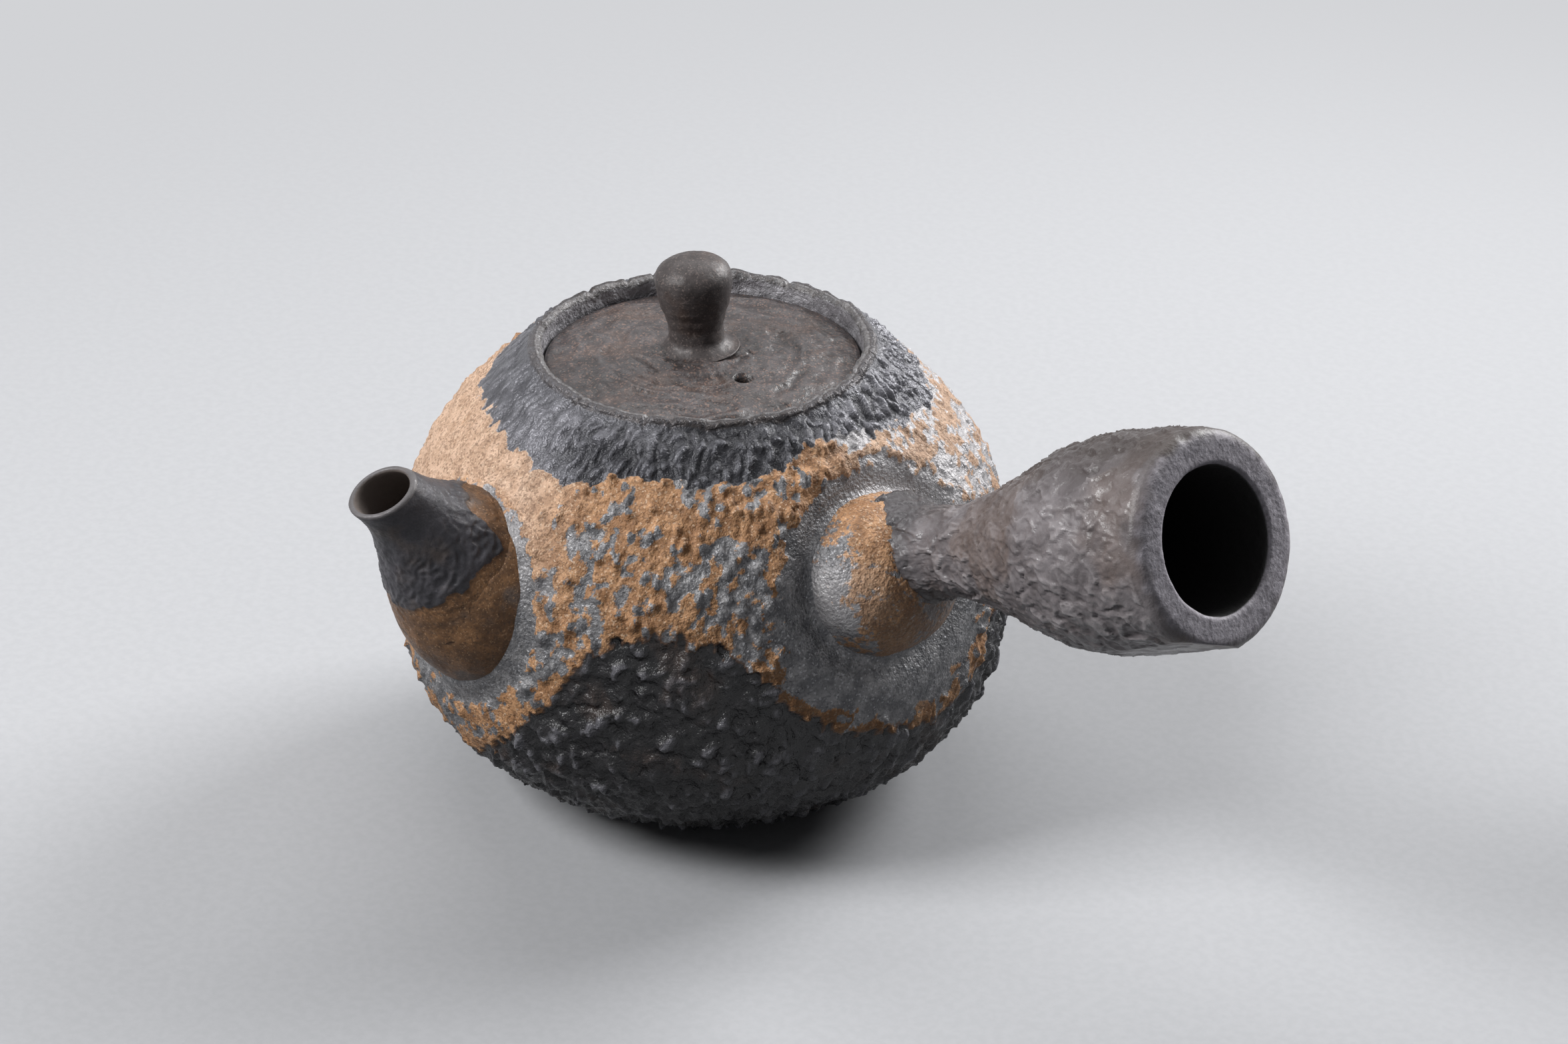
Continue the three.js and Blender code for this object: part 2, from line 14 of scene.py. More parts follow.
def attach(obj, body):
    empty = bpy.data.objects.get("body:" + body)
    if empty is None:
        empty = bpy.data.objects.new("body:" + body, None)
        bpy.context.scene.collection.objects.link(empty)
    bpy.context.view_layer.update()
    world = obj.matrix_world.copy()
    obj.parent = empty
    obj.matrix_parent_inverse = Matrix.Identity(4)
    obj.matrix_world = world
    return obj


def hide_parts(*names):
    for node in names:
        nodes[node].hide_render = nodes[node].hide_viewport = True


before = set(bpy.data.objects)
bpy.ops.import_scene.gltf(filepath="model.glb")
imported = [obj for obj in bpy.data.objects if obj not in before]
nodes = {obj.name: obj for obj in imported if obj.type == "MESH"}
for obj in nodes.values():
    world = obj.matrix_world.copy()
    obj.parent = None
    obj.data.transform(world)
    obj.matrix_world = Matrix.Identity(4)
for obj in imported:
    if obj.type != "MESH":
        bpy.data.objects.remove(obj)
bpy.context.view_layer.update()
MM = 0.001

# Sizes of the part, in millimetres and degrees
BODY_RADIUS, BELLY_HEIGHT = 45.2, 28.5
RIM_HEIGHT, RIM_RADIUS, LIP_WALL = 68.6, 25.4, 1.9
BASE_RADIUS, BASE_SLOPE, SHOULDER_SLOPE = 22, 34, 45
FOOT_PULL, BELLY_PULL_LOW, BELLY_PULL_HIGH, SHOULDER_PULL = 0.25, 0.69, 0.585, 0.44
BODY_WALL, FLOOR_THICKNESS = 2.6, 3.2
LID_TOP_EDGE, LID_EDGE, LID_RISE, LID_SIDE_GAP = 65.9, 2.2, 1.8, 0.4
LEDGE_HEIGHT, LEDGE_WIDTH, LEDGE_THICKNESS, LEDGE_DROP = 63.4, 3.3, 2.0, 1.2
VENT_RADIUS, VENT_OFFSET, VENT_TURN = 1.3, 11.9, -14
KNOB_HEIGHT, KNOB_CAP_RADIUS, KNOB_CAP_HEIGHT = 14.2, 5.65, 3.5
KNOB_NECK_RADIUS, KNOB_FOOT_RADIUS, KNOB_FOOT_HEIGHT = 4.0, 5.2, 2.4
KNOB_OFFSET, KNOB_LEAN, KNOB_TURN = 0.8, 2.2, 225.6
HANDLE_REACH, HANDLE_TILT, HANDLE_LINE_HEIGHT = 105.7, 22.4, 31.7
HANDLE_RADIUS, HANDLE_NECK_RADIUS, HANDLE_BARREL, HANDLE_SWELL = 14.9, 6.2, 14.7, 36
HANDLE_ROOT_RADIUS, HANDLE_ROOT_LENGTH, HANDLE_START = 7.5, 5.5, 45.5
HANDLE_BORE_RADIUS, HANDLE_WALL, HANDLE_HOLLOW = 9.9, 3.4, 44
HANDLE_END_ROUND, HANDLE_MOUTH_ROUND = 1.8, 0.7
HANDLE_FLAT_DEPTH, HANDLE_FLAT_TURN, HANDLE_FLAT_SLOPE = 1.3, 157, 4
SOCKET_PROUD, SOCKET_TURN, SOCKET_HEIGHT = 5.2, -4, 47.0
SPOUT_TURN, ROOT_RADIUS, ROOT_HEIGHT, ROOT_SUNK, ROOT_WALL = -97.9, 14.4, 39.6, 7, 3
SOCKET_ACROSS, SOCKET_ABOVE = 12.6, 11.4
NECK_RADIUS, NECK_TUCK, SEAM, SEAM_ROUND, SPOUT_STEP = 12.3, 3, 12, 1, 2.3
SPOUT_REACH, MOUTH_HEIGHT, MOUTH_RADIUS = 55, 60.1, 5.1
MOUTH_SLOPE, TUBE_SLOPE, TUBE_WALL, LIP_THIN = 64, 40, 2.2, 0.9
PASSAGE_RADIUS, PASSAGE_IN, PASSAGE_OUT = 8.5, 6, 5
LIP_ROUND, LID_ROUND, KNOB_SUNK = 0.6, 0.45, 0.6
# What the seen root, tube and handle have over the plain solids
ROOT_GROWN, ROOT_RAISED, TUBE_BASE_RADIUS, HANDLE_GROWN = 0.5, 0.9, 13.15, 1.0

# The clay's surface, in millimetres: sizes are across and tall
BOSS_HALO, ROOT_HALO = 19.0, 16.9
SCALE_SIZE, FLECK_SIZE, LUMP_SIZE, CHIP_SIZE = (1.87, 3.3), (2.3, 3.1), (2.4, 3.0), (1.5, 1.2)
SCALE_HEIGHT, FLECK_HEIGHT, CRAG_HEIGHT = 0.8, 0.85, 0.42
MOAT_DEPTH, MOAT_RIM, FILLET_HEIGHT, FILLET_WIDTH = 1.4, 0.2, 0.8, 2.6
SPOT_SPREAD = 0.42

# Points round each piece
WALL_POINTS, BOSS_POINTS, ROOT_POINTS, TUBE_POINTS = 720, 300, 300, 240
HANDLE_POINTS, LID_POINTS, KNOB_POINTS = 420, 360, 220


# Numbers that repeat

HASH_PRIMES, HASH_LIMIT = (73856093, 19349663, 83492791, 26544357), 0x7FFFFFFF


def hashed(cell, seed):
    """A number from 0 to 1 for each cell, the same in every run."""
    x, y, z, s = HASH_PRIMES
    n = (cell[:, 0] * x) ^ (cell[:, 1] * y) ^ (cell[:, 2] * z) ^ (seed * s)
    n = (n ^ (n >> 13)) & HASH_LIMIT
    n = (n * ((n * n * 15731 + 789221) & HASH_LIMIT) + 1376312589) & HASH_LIMIT
    n = (n ^ (n >> 15)) & HASH_LIMIT
    return n / HASH_LIMIT


def hashed_three(cell, seed):
    return np.stack([hashed(cell, seed + k) for k in range(3)], axis=1)


def noise(p, size, seed=0):
    """Gradient noise at points in millimetres, about -1 to 1, with features of one size."""
    q = p / size
    low = np.floor(q).astype(np.int64)
    f = q - low
    u = f * f * f * (f * (f * 6 - 15) + 10)
    total = np.zeros(len(q))
    for corner in map(np.array, itertools.product((0, 1), repeat=3)):
        turn = 2 * math.pi * hashed(low + corner, seed)
        rise = 2 * hashed(low + corner, seed + 101) - 1
        flat = np.sqrt(1 - rise * rise)
        d = f - corner
        slope = d[:, 0] * flat * np.cos(turn) + d[:, 1] * flat * np.sin(turn) + d[:, 2] * rise
        total += slope * np.prod(np.where(corner == 1, u, 1 - u), axis=1)
    return total * 1.6


def layered(p, size, octaves, seed=0):
    size = np.asarray(size, float)
    return sum(noise(p, size / 2 ** k, seed + 7 * k) / 2 ** k for k in range(octaves))


def ridges(p, size, seed):
    """Noise folded into sharp ridges: 1 along them and about -1 between them."""
    return 1 - 2 * np.abs(noise(p, size, seed))


def drift(p, size, seed):
    """A push in every direction that changes slowly from point to point."""
    return np.stack([noise(p, size, seed + k) for k in range(3)], axis=1)


def bell(x, middle, spread):
    return np.exp(-((x - middle) / spread) ** 2)


def crags(p, size, seed):
    """A surface of tilted facets that meet in sharp creases and edges, about -1 to 1."""
    q = p / size
    low = np.floor(q).astype(np.int64)
    best = np.full(len(q), np.inf)
    number, slope = np.zeros(len(q)), np.zeros(len(q))
    for step in itertools.product((-1, 0, 1), repeat=3):
        cell = low + step
        away = q - cell - hashed_three(cell, seed)
        distance = np.linalg.norm(away, axis=1)
        closer = distance < best
        number = np.where(closer, hashed(cell, seed + 3), number)
        tilt = hashed_three(cell, seed + 4) - 0.5
        slope = np.where(closer, np.sum(away * tilt, axis=1), slope)
        best = np.where(closer, distance, best)
    return 1.1 * (number - 0.5) + 2.0 * slope


def spots(angle, along, size, seed):
    """Distance to the nearest of points scattered over the wall, and its number. It closes round the pot."""
    across, tall = size
    count = int(2 * math.pi * BODY_RADIUS / across)
    u, v = (angle % 360) / 360 * count, along / tall
    low_u, low_v = np.floor(u).astype(np.int64), np.floor(v).astype(np.int64)
    best, number = np.full(len(u), np.inf), np.zeros(len(u))
    for i, k in itertools.product((-1, 0, 1), repeat=2):
        cell = np.stack([(low_u + i) % count, low_v + k, 0 * low_u], axis=1)
        distance = np.hypot(low_u + i + hashed(cell, seed) - u, low_v + k + hashed(cell, seed + 1) - v)
        number = np.where(distance < best, hashed(cell, seed + 2), number)
        best = np.minimum(best, distance)
    return best, number


def mounds(angle, along, size, seed):
    """Small round mounds scattered over the wall, 1 at their tops, and each one's number."""
    distance, number = spots(angle, along, size, seed)
    return bell(distance, 0, SPOT_SPREAD), number


def smooth(x, low=0.0, high=1.0):
    t = np.clip((x - low) / (high - low), 0, 1)
    return t * t * (3 - 2 * t)


# Curves

def bezier(a, b, c, d, n):
    t = np.linspace(0, 1, n)[:, None]
    return (1 - t) ** 3 * a + 3 * (1 - t) ** 2 * t * b + 3 * (1 - t) * t * t * c + t ** 3 * d


def slope_way(degrees):
    return np.array([math.cos(math.radians(degrees)), 0, math.sin(math.radians(degrees))])


def from_axis(radius, degrees, height):
    """A place given by its distance from the pot's axis, its direction and its height."""
    a = math.radians(degrees)
    return np.array([radius * math.cos(a), radius * math.sin(a), height])


def distance_along(points):
    return np.concatenate([[0], np.cumsum(np.linalg.norm(np.diff(points, axis=0), axis=1))])


def evenly(points, spacing):
    """The points along a line of straight pieces, set anew at about one spacing."""
    points = np.asarray(points, float)
    length = distance_along(points)
    at = np.linspace(0, length[-1], max(2, int(round(length[-1] / spacing)) + 1))
    return np.stack([np.interp(at, length, points[:, k]) for k in range(points.shape[1])], axis=1)


def round_turn(count):
    return np.linspace(0, 2 * math.pi, count, endpoint=False)


def quarter(cx, cy, radius, start, end, n=5):
    a = np.radians(np.linspace(start, end, n))
    return np.stack([cx + radius * np.cos(a), cy + radius * np.sin(a)], axis=1)


def wall_line():
    base = np.array([BASE_RADIUS, 0.0])
    lip = np.array([RIM_RADIUS, RIM_HEIGHT - LIP_ROUND])
    above = RIM_HEIGHT - BELLY_HEIGHT
    foot = slope_way(BASE_SLOPE)[[0, 2]] * FOOT_PULL * BELLY_HEIGHT
    shoulder = slope_way(-SHOULDER_SLOPE)[[0, 2]] * SHOULDER_PULL * above
    lower = bezier(base, base + foot, (BODY_RADIUS, (1 - BELLY_PULL_LOW) * BELLY_HEIGHT),
                   (BODY_RADIUS, BELLY_HEIGHT), 80)
    upper = bezier((BODY_RADIUS, BELLY_HEIGHT), (BODY_RADIUS, BELLY_HEIGHT + BELLY_PULL_HIGH * above),
                   lip + shoulder, lip, 100)
    return np.concatenate([lower, upper[1:]])


WALL = wall_line()
WALL_ALONG = distance_along(WALL)


def wall_radius(z):
    return np.interp(z, WALL[:, 1], WALL[:, 0])


# Meshes

def linked(name, data):
    obj = bpy.data.objects.new(name, data)
    bpy.context.scene.collection.objects.link(obj)
    return obj


def normals_of(grid, closed):
    """Outward directions on a grid of points, rows along the profile and columns round the axis."""
    round_way = np.roll(grid, -1, axis=1) - np.roll(grid, 1, axis=1)
    if closed:
        along = np.roll(grid, -1, axis=0) - np.roll(grid, 1, axis=0)
    else:
        along = np.gradient(grid, axis=0)
    n = np.cross(round_way, along)
    return n / np.maximum(np.linalg.norm(n, axis=2, keepdims=True), 1e-9)


def spun(profile, columns):
    """Rings of points about Z from a profile of radius and height."""
    a = round_turn(columns)
    r, z = profile[:, 0][:, None], profile[:, 1][:, None]
    return np.stack([r * np.cos(a), r * np.sin(a), z + 0 * a], axis=2)


def unrolled(grid, closed):
    """A grid's points and outward directions as plain lists, and the row of each."""
    row = np.repeat(np.arange(len(grid)), grid.shape[1])
    return grid.reshape(-1, 3), normals_of(grid, closed).reshape(-1, 3), row


def skin(name, grid, poles=None, marks=None):
    """A closed mesh from rings of points in millimetres: capped by two poles, or closed on itself."""
    rows, columns = grid.shape[:2]
    verts = grid.reshape(-1, 3)
    i, k = np.meshgrid(np.arange(rows if poles is None else rows - 1), np.arange(columns), indexing="ij")
    up, nxt = (i + 1) % rows, (k + 1) % columns
    quads = np.stack([i * columns + k, i * columns + nxt, up * columns + nxt, up * columns + k], axis=2)
    faces = quads.reshape(-1, 4).tolist()
    if poles is not None:
        verts = np.concatenate([verts, poles])
        first, last = len(verts) - 2, len(verts) - 1
        ring = np.arange(columns)
        faces += np.stack([np.full(columns, first), (ring + 1) % columns, ring], axis=1).tolist()
        top = (rows - 1) * columns
        faces += np.stack([np.full(columns, last), top + ring, top + (ring + 1) % columns], axis=1).tolist()
    mesh = bpy.data.meshes.new(name)
    mesh.from_pydata((verts * MM).tolist(), [], faces)
    mesh.shade_smooth()
    for mark, values in (marks or {}).items():
        values = np.asarray(values, float).reshape(rows, columns)
        ends = [] if poles is None else [values[0].mean(), values[-1].mean()]
        values = np.concatenate([values.ravel(), ends]).astype(np.float32)
        mesh.attributes.new(mark, "FLOAT", "POINT").data.foreach_set("value", values)
    return linked(name, mesh)


def cut(obj, cutter):
    """Cuts one object out of another and deletes the cutter."""
    cutting = obj.modifiers.new("cut", "BOOLEAN")
    cutting.operation, cutting.solver, cutting.object = "DIFFERENCE", "EXACT", cutter
    bpy.context.view_layer.update()
    done = bpy.data.meshes.new_from_object(obj.evaluated_get(bpy.context.evaluated_depsgraph_get()))
    obj.modifiers.clear()
    old, obj.data = obj.data, done
    done.shade_smooth()
    bpy.data.meshes.remove(old)
    bpy.data.objects.remove(cutter)


def laid_along(grid, way, origin):
    """Points made about Z, laid along a direction from a place."""
    turn = Vector((0, 0, 1)).rotation_difference(Vector(way)).to_matrix()
    return grid @ np.array(turn).T + origin


def turned_z(points, degrees):
    c, s = math.cos(math.radians(degrees)), math.sin(math.radians(degrees))
    return points @ np.array([[c, -s, 0], [s, c, 0], [0, 0, 1]]).T


# The wall's zones and relief

def ring_line(pairs):
    """A height round the pot, from pairs of degrees and millimetres."""
    degrees, heights = zip(*pairs)
    def height(angle):
        return np.interp(angle % 360, np.array(degrees) % 360, heights, period=360)
    return height


skirt_edge = ring_line([
    (-115, 61.6), (-100, 60.6), (-90, 60.2), (-80, 59.4), (-70, 60.4), (-60, 61.6), (-50, 61.2), (-44, 60.8),
    (-30, 61.4), (-20, 62.6), (-12, 64.0), (0, 63.6), (14, 62.0), (36, 60.2), (60, 61), (95, 62.5),
    (135, 60.4), (170, 61.6), (205, 62.6), (230, 61.2)])
rock_edge = ring_line([
    (-97, 14), (-90, 17), (-84, 21), (-80, 24.5), (-76, 27.5), (-72, 31), (-68, 35.5), (-65, 39), (-61, 41.5),
    (-55, 43), (-48, 42.8), (-43, 41.5), (-38, 40.3), (-34, 37.8), (-30, 33.8), (-26, 30), (-21, 27.8),
    (-14, 25.6), (-7, 23.4), (2, 22.2), (8, 23), (14, 24.4), (19, 26.5), (22, 29.5), (26, 34), (32, 39),
    (42, 41.5), (62, 37), (85, 28), (115, 22), (145, 31), (175, 39), (200, 35), (222, 22), (240, 14),
    (252, 12)])


def on_wall(angle, z):
    return from_axis(wall_radius(z), angle, z)


def facing(place):
    """The wall's outward, sideways and upward directions at a place on it."""
    out = np.array([place[0], place[1], 0]) / np.hypot(place[0], place[1])
    lean = float(np.interp(place[2], WALL[:, 1], np.gradient(WALL[:, 0], WALL[:, 1])))
    normal = out - (0, 0, lean)
    normal /= np.linalg.norm(normal)
    side = np.cross([0, 0, 1], normal)
    side /= np.linalg.norm(side)
    return normal, side, np.cross(normal, side)


boss_centre = on_wall(SOCKET_TURN, SOCKET_HEIGHT)
boss_out, boss_side, boss_up = facing(boss_centre)
root_middle = on_wall(SPOUT_TURN, ROOT_HEIGHT)
root_inward = 1 - ROOT_SUNK / np.hypot(*root_middle[:2])
root_ball = root_middle * (root_inward, root_inward, 1)


def zones(p):
    """What each point of the wall's outside is made of, as shares from 0 to 1; the pale share also holds
    painted highlight.
    """
    angle = np.degrees(np.arctan2(p[:, 1], p[:, 0]))
    z = p[:, 2]
    broad, fine = noise(p, 5, 11), layered(p, 1.7, 2, 12)
    skirt = smooth(z - skirt_edge(angle) + 0.9 * noise(p, (2, 2, 3.5), 13) + 0.8 * fine, -0.25, 0.35)
    rock = smooth(rock_edge(angle) - z + 1.3 * broad + 1.5 * fine, -0.3, 0.5)
    boss = np.linalg.norm((p - boss_centre + (0, 0, 3.2)) / (1, 1.02, 1.02), axis=1)
    root = np.linalg.norm(p - root_middle - (0, 0, 1.5), axis=1)
    halo = np.maximum(smooth(BOSS_HALO - boss + 2.4 * broad + 2.0 * fine, -0.5, 0.9),
                      smooth(ROOT_HALO - root + 0.9 * broad + 1.1 * fine, -0.5, 0.9))
    halo = halo * (1 - skirt) * (1 - rock)
    left = smooth(-angle, 66, 90) * smooth(-angle, 178, 145)
    left_high = left * smooth(z, 38, 50)
    right_high = smooth(angle, -18, 4) * smooth(angle, 178, 145) * smooth(z, 38, 52)
    near_rock = bell(z, rock_edge(angle), 2.4)
    along = np.interp(z, WALL[:, 1], WALL_ALONG)
    sway = 0.7 * noise(p, 2.2, 15)
    flecks, number = spots(angle + sway, along + sway, FLECK_SIZE, 16)
    calm = np.maximum(np.maximum(left_high, 0.5 * left), 0.8 * right_high)
    raised = bell(flecks, 0, 0.2 + 0.14 * number) * (number > 0.3) * (1 - 0.65 * calm)
    ragged = layered(p, (4.4, 4.4, 5.4), 2, 17) + 0.75 * layered(p, (1.5, 1.5, 1.9), 3, 18)
    tan = 0.06 + 0.6 * ragged + 0.9 * left_high - 0.2 * right_high + near_rock * (0.3 + 0.5 * broad)
    stray = smooth(noise(p, 3.4, 19), 0.0, 0.5) * smooth(36 - z, 0, 6)
    tan = tan - (1.1 - 1.0 * stray) * halo - 0.5 * raised + 0.3 * smooth(z, 52, 60)
    mid = (1 - skirt) * (1 - rock)
    edge = bell(tan, 0.04, 0.07) * mid
    # Pale: partly a paler clay tone, partly painted highlight where the lamps light the upper left, the upper
    # right and the front left under the lip
    pale = np.maximum(left_high * (1 - 0.8 * halo), 0.75 * right_high)
    pale = np.maximum(pale, 0.65 * smooth(z, 62.5, 66.5) * smooth(-angle, 44, 62) * smooth(-angle, 178, 145))
    return {"skirt": skirt, "rock": rock, "halo": halo, "tan": smooth(tan, -0.12, 0.2) * mid, "pale": pale,
            "fleck": raised * mid * (1 - halo), "edge": edge, "angle": angle, "along": along, "calm": calm}


def relief(p, zone):
    """How far the wall's outside stands out from its plain curve, in millimetres."""
    angle, along = zone["angle"], zone["along"]
    around = np.radians(angle)
    wide = wall_radius(p[:, 2]) * 0.35 + 22
    flow = np.stack([wide * np.cos(around), wide * np.sin(around), along], axis=1)
    bent = flow + 0.7 * drift(p, 3, 21)
    shift = 1.6 * noise(p, 3, 27)
    scale, _ = mounds(angle + 1.25 * shift, along + shift, SCALE_SIZE, 28)
    scale = SCALE_HEIGHT * scale + 0.11 * (1 - 2.6 * np.abs(noise(bent, (1.4, 1.4, 2.9), 24)))
    scale = scale + 0.1 * noise(bent, (0.8, 0.8, 1.3), 25) + 0.35 * noise(p, (4, 4, 3), 26) - 0.2
    fade = 1 - 0.7 * smooth(-angle, 74, 98) * smooth(-angle, 178, 145)
    fade = fade * smooth(p[:, 2], RIM_HEIGHT - 0.7, RIM_HEIGHT - 2.2)
    crag = p + 0.8 * drift(p, 2.6, 31)
    rough = CRAG_HEIGHT * crags(crag, (3.2, 3.2, 3.0), 34) + 0.14 * crags(crag, (1.5, 1.5, 1.2), 44)
    lump, number = mounds(angle + shift, along + shift, LUMP_SIZE, 46)
    chip, _ = mounds(angle - shift, along + shift, CHIP_SIZE, 49)
    rough = rough + (0.25 + 0.8 * number) * lump + 0.24 * chip
    rough = rough + 0.35 * noise(p, (6, 6, 3.5), 35) - 0.35
    skirt_part = zone["skirt"] * fade * scale
    rock_part = zone["rock"] * rough
    pebble = 0.18 * ridges(p, (1.3, 1.3, 1.7), 37) * (1 - 0.5 * zone["calm"])
    crust = 0.2 * zone["tan"] + 0.12 * zone["edge"] + FLECK_HEIGHT * zone["fleck"] + pebble
    crust = crust + 0.22 * noise(p, 4, 38) + 0.08 * noise(p, 0.8, 39)
    middle = (1 - zone["skirt"]) * (1 - zone["rock"])
    rise = skirt_part + rock_part + middle * (1 - 0.85 * zone["halo"]) * crust
    # The relief's height is kept as a mark, which paints highlights on raised parts and shade in low ones
    zone["rise"] = smooth(rise, -0.4, 1.0)
    return rise + moat(p) + root_fillet(p)


def moat(p):
    """The shallow hollow pressed into the wall round the boss, with a soft swelling outside it."""
    out = (boss_share(p) - 1) * 0.5 * (SOCKET_ACROSS + SOCKET_ABOVE)
    return MOAT_RIM * bell(out, 6.5, 2.8) - MOAT_DEPTH * bell(out, 1.3, 2.2)


def boss_share(p):
    """How far a point lies out from the boss's middle: 1 at its edge."""
    away = p - boss_centre
    other_side = away @ boss_out < -20
    return np.hypot(away @ boss_side / SOCKET_ACROSS, away @ boss_up / SOCKET_ABOVE) + 9 * other_side


def root_fillet(p):
    """The clay smeared up against the root, and left out under it."""
    out = np.linalg.norm(p - root_ball, axis=1) - ROOT_RADIUS
    return FILLET_HEIGHT * (1 - np.clip(out / FILLET_WIDTH, 0, 1)) ** 2 * (out > -3)


def rim_wave(p):
    """How far the torn lip stands above or below its plain height. It is lowest in front."""
    flat = p * (1, 1, 0)
    torn = smooth(np.abs(noise(flat, 6.5, 43)), 0.13, 0.0)
    wave = 0.3 * noise(flat, 10, 41) + 0.35 * noise(flat, 4.6, 42) - 0.5 * torn + 0.13 * noise(flat, 1.5, 45)
    near = 1.3 * smooth(flat @ np.array([0.0174, -0.0171, 0]), 0.1, 0.6)
    return (wave + 0.1 - near) * smooth(p[:, 2], 64.5, 68.2)


ZONE_MARKS = ("skirt", "rock", "halo", "tan", "pale", "rise")
WALL_MARKS = (*ZONE_MARKS, "inside", "lip")


def pot_body():
    inside_lip = RIM_RADIUS - LIP_WALL
    outside = evenly(WALL, 0.37)
    ledge_under = LEDGE_HEIGHT - LEDGE_THICKNESS
    mouth = inside_lip - LEDGE_WIDTH
    way = np.gradient(WALL, axis=0)
    way /= np.linalg.norm(way, axis=1, keepdims=True)
    inner = WALL + BODY_WALL * np.stack([-way[:, 1], way[:, 0]], axis=1)
    inner = inner[(inner[:, 1] > FLOOR_THICKNESS + 1.5) & (inner[:, 1] < ledge_under - LEDGE_DROP)][::-1]
    floor_r = inner[-1, 0] - 2.4
    parts = [evenly([(2, 0), (BASE_RADIUS - 0.4, 0)], 1.6), outside,
             quarter(RIM_RADIUS - LIP_ROUND, RIM_HEIGHT - LIP_ROUND, LIP_ROUND, 15, 90),
             [(inside_lip + 0.5, RIM_HEIGHT)],
             evenly([(inside_lip, RIM_HEIGHT - 0.5), (inside_lip, LEDGE_HEIGHT)], 0.4),
             evenly([(inside_lip - 0.2, LEDGE_HEIGHT), (mouth + 0.2, LEDGE_HEIGHT)], 0.6),
             evenly([(mouth, LEDGE_HEIGHT - 0.2), (mouth, ledge_under + 0.2)], 0.5),
             evenly([(mouth + 0.2, ledge_under), tuple(inner[0])], 1.2),
             evenly(inner, 1.2), [(floor_r, FLOOR_THICKNESS)],
             evenly([(floor_r - 1, FLOOR_THICKNESS), (2, FLOOR_THICKNESS)], 1.6)]
    profile = np.concatenate(parts)
    counts = np.cumsum([len(part) for part in parts])
    grid = spun(profile, WALL_POINTS)
    flat, ways, row = unrolled(grid, False)
    outer = (row >= counts[0]) & (row < counts[2])
    mark = {name: np.zeros(len(flat)) for name in WALL_MARKS}
    zone = zones(flat[outer])
    lift = relief(flat[outer], zone)
    lift = lift * smooth(flat[outer][:, 2], -0.2, 2.5)
    for name in ZONE_MARKS:
        mark[name][outer] = zone[name]
    flat[outer] += ways[outer] * lift[:, None]
    lip_wall = (row >= counts[1]) & (row < counts[4])
    sway = 0.18 * noise(flat[lip_wall], (4, 4, 2), 51) + 0.16 * noise(flat[lip_wall], 1.3, 52)
    flat[lip_wall] += ways[lip_wall] * (sway * smooth(flat[lip_wall][:, 2], 64, 66))[:, None]
    flat[:, 2] += rim_wave(flat) * ((row >= counts[0]) & (row < counts[4]))
    inner_rows = row >= counts[4]
    rings = 0.12 * np.sin(flat[inner_rows][:, 2] * 1.3 + 0.4 * noise(flat[inner_rows], 9, 53))
    flat[inner_rows] += ways[inner_rows] * (rings * (row[inner_rows] >= counts[7]))[:, None]
    mark["inside"][row > counts[3]] = 1
    mark["lip"][(row >= counts[1] - 1) & (row <= counts[3])] = 1
    flat[outer, 2] = np.maximum(flat[outer, 2], 0)
    body = skin("body_wall", flat.reshape(grid.shape), [(0, 0, 0), (0, 0, FLOOR_THICKNESS)], mark)
    hole = spun(np.array([(PASSAGE_RADIUS, -PASSAGE_IN), (PASSAGE_RADIUS, PASSAGE_OUT)]), 48)
    out = from_axis(1, SPOUT_TURN, 0)
    hole = laid_along(hole, out, root_middle)
    cut(body, skin("passage", hole, [root_middle - PASSAGE_IN * out, root_middle + PASSAGE_OUT * out]))
    return body


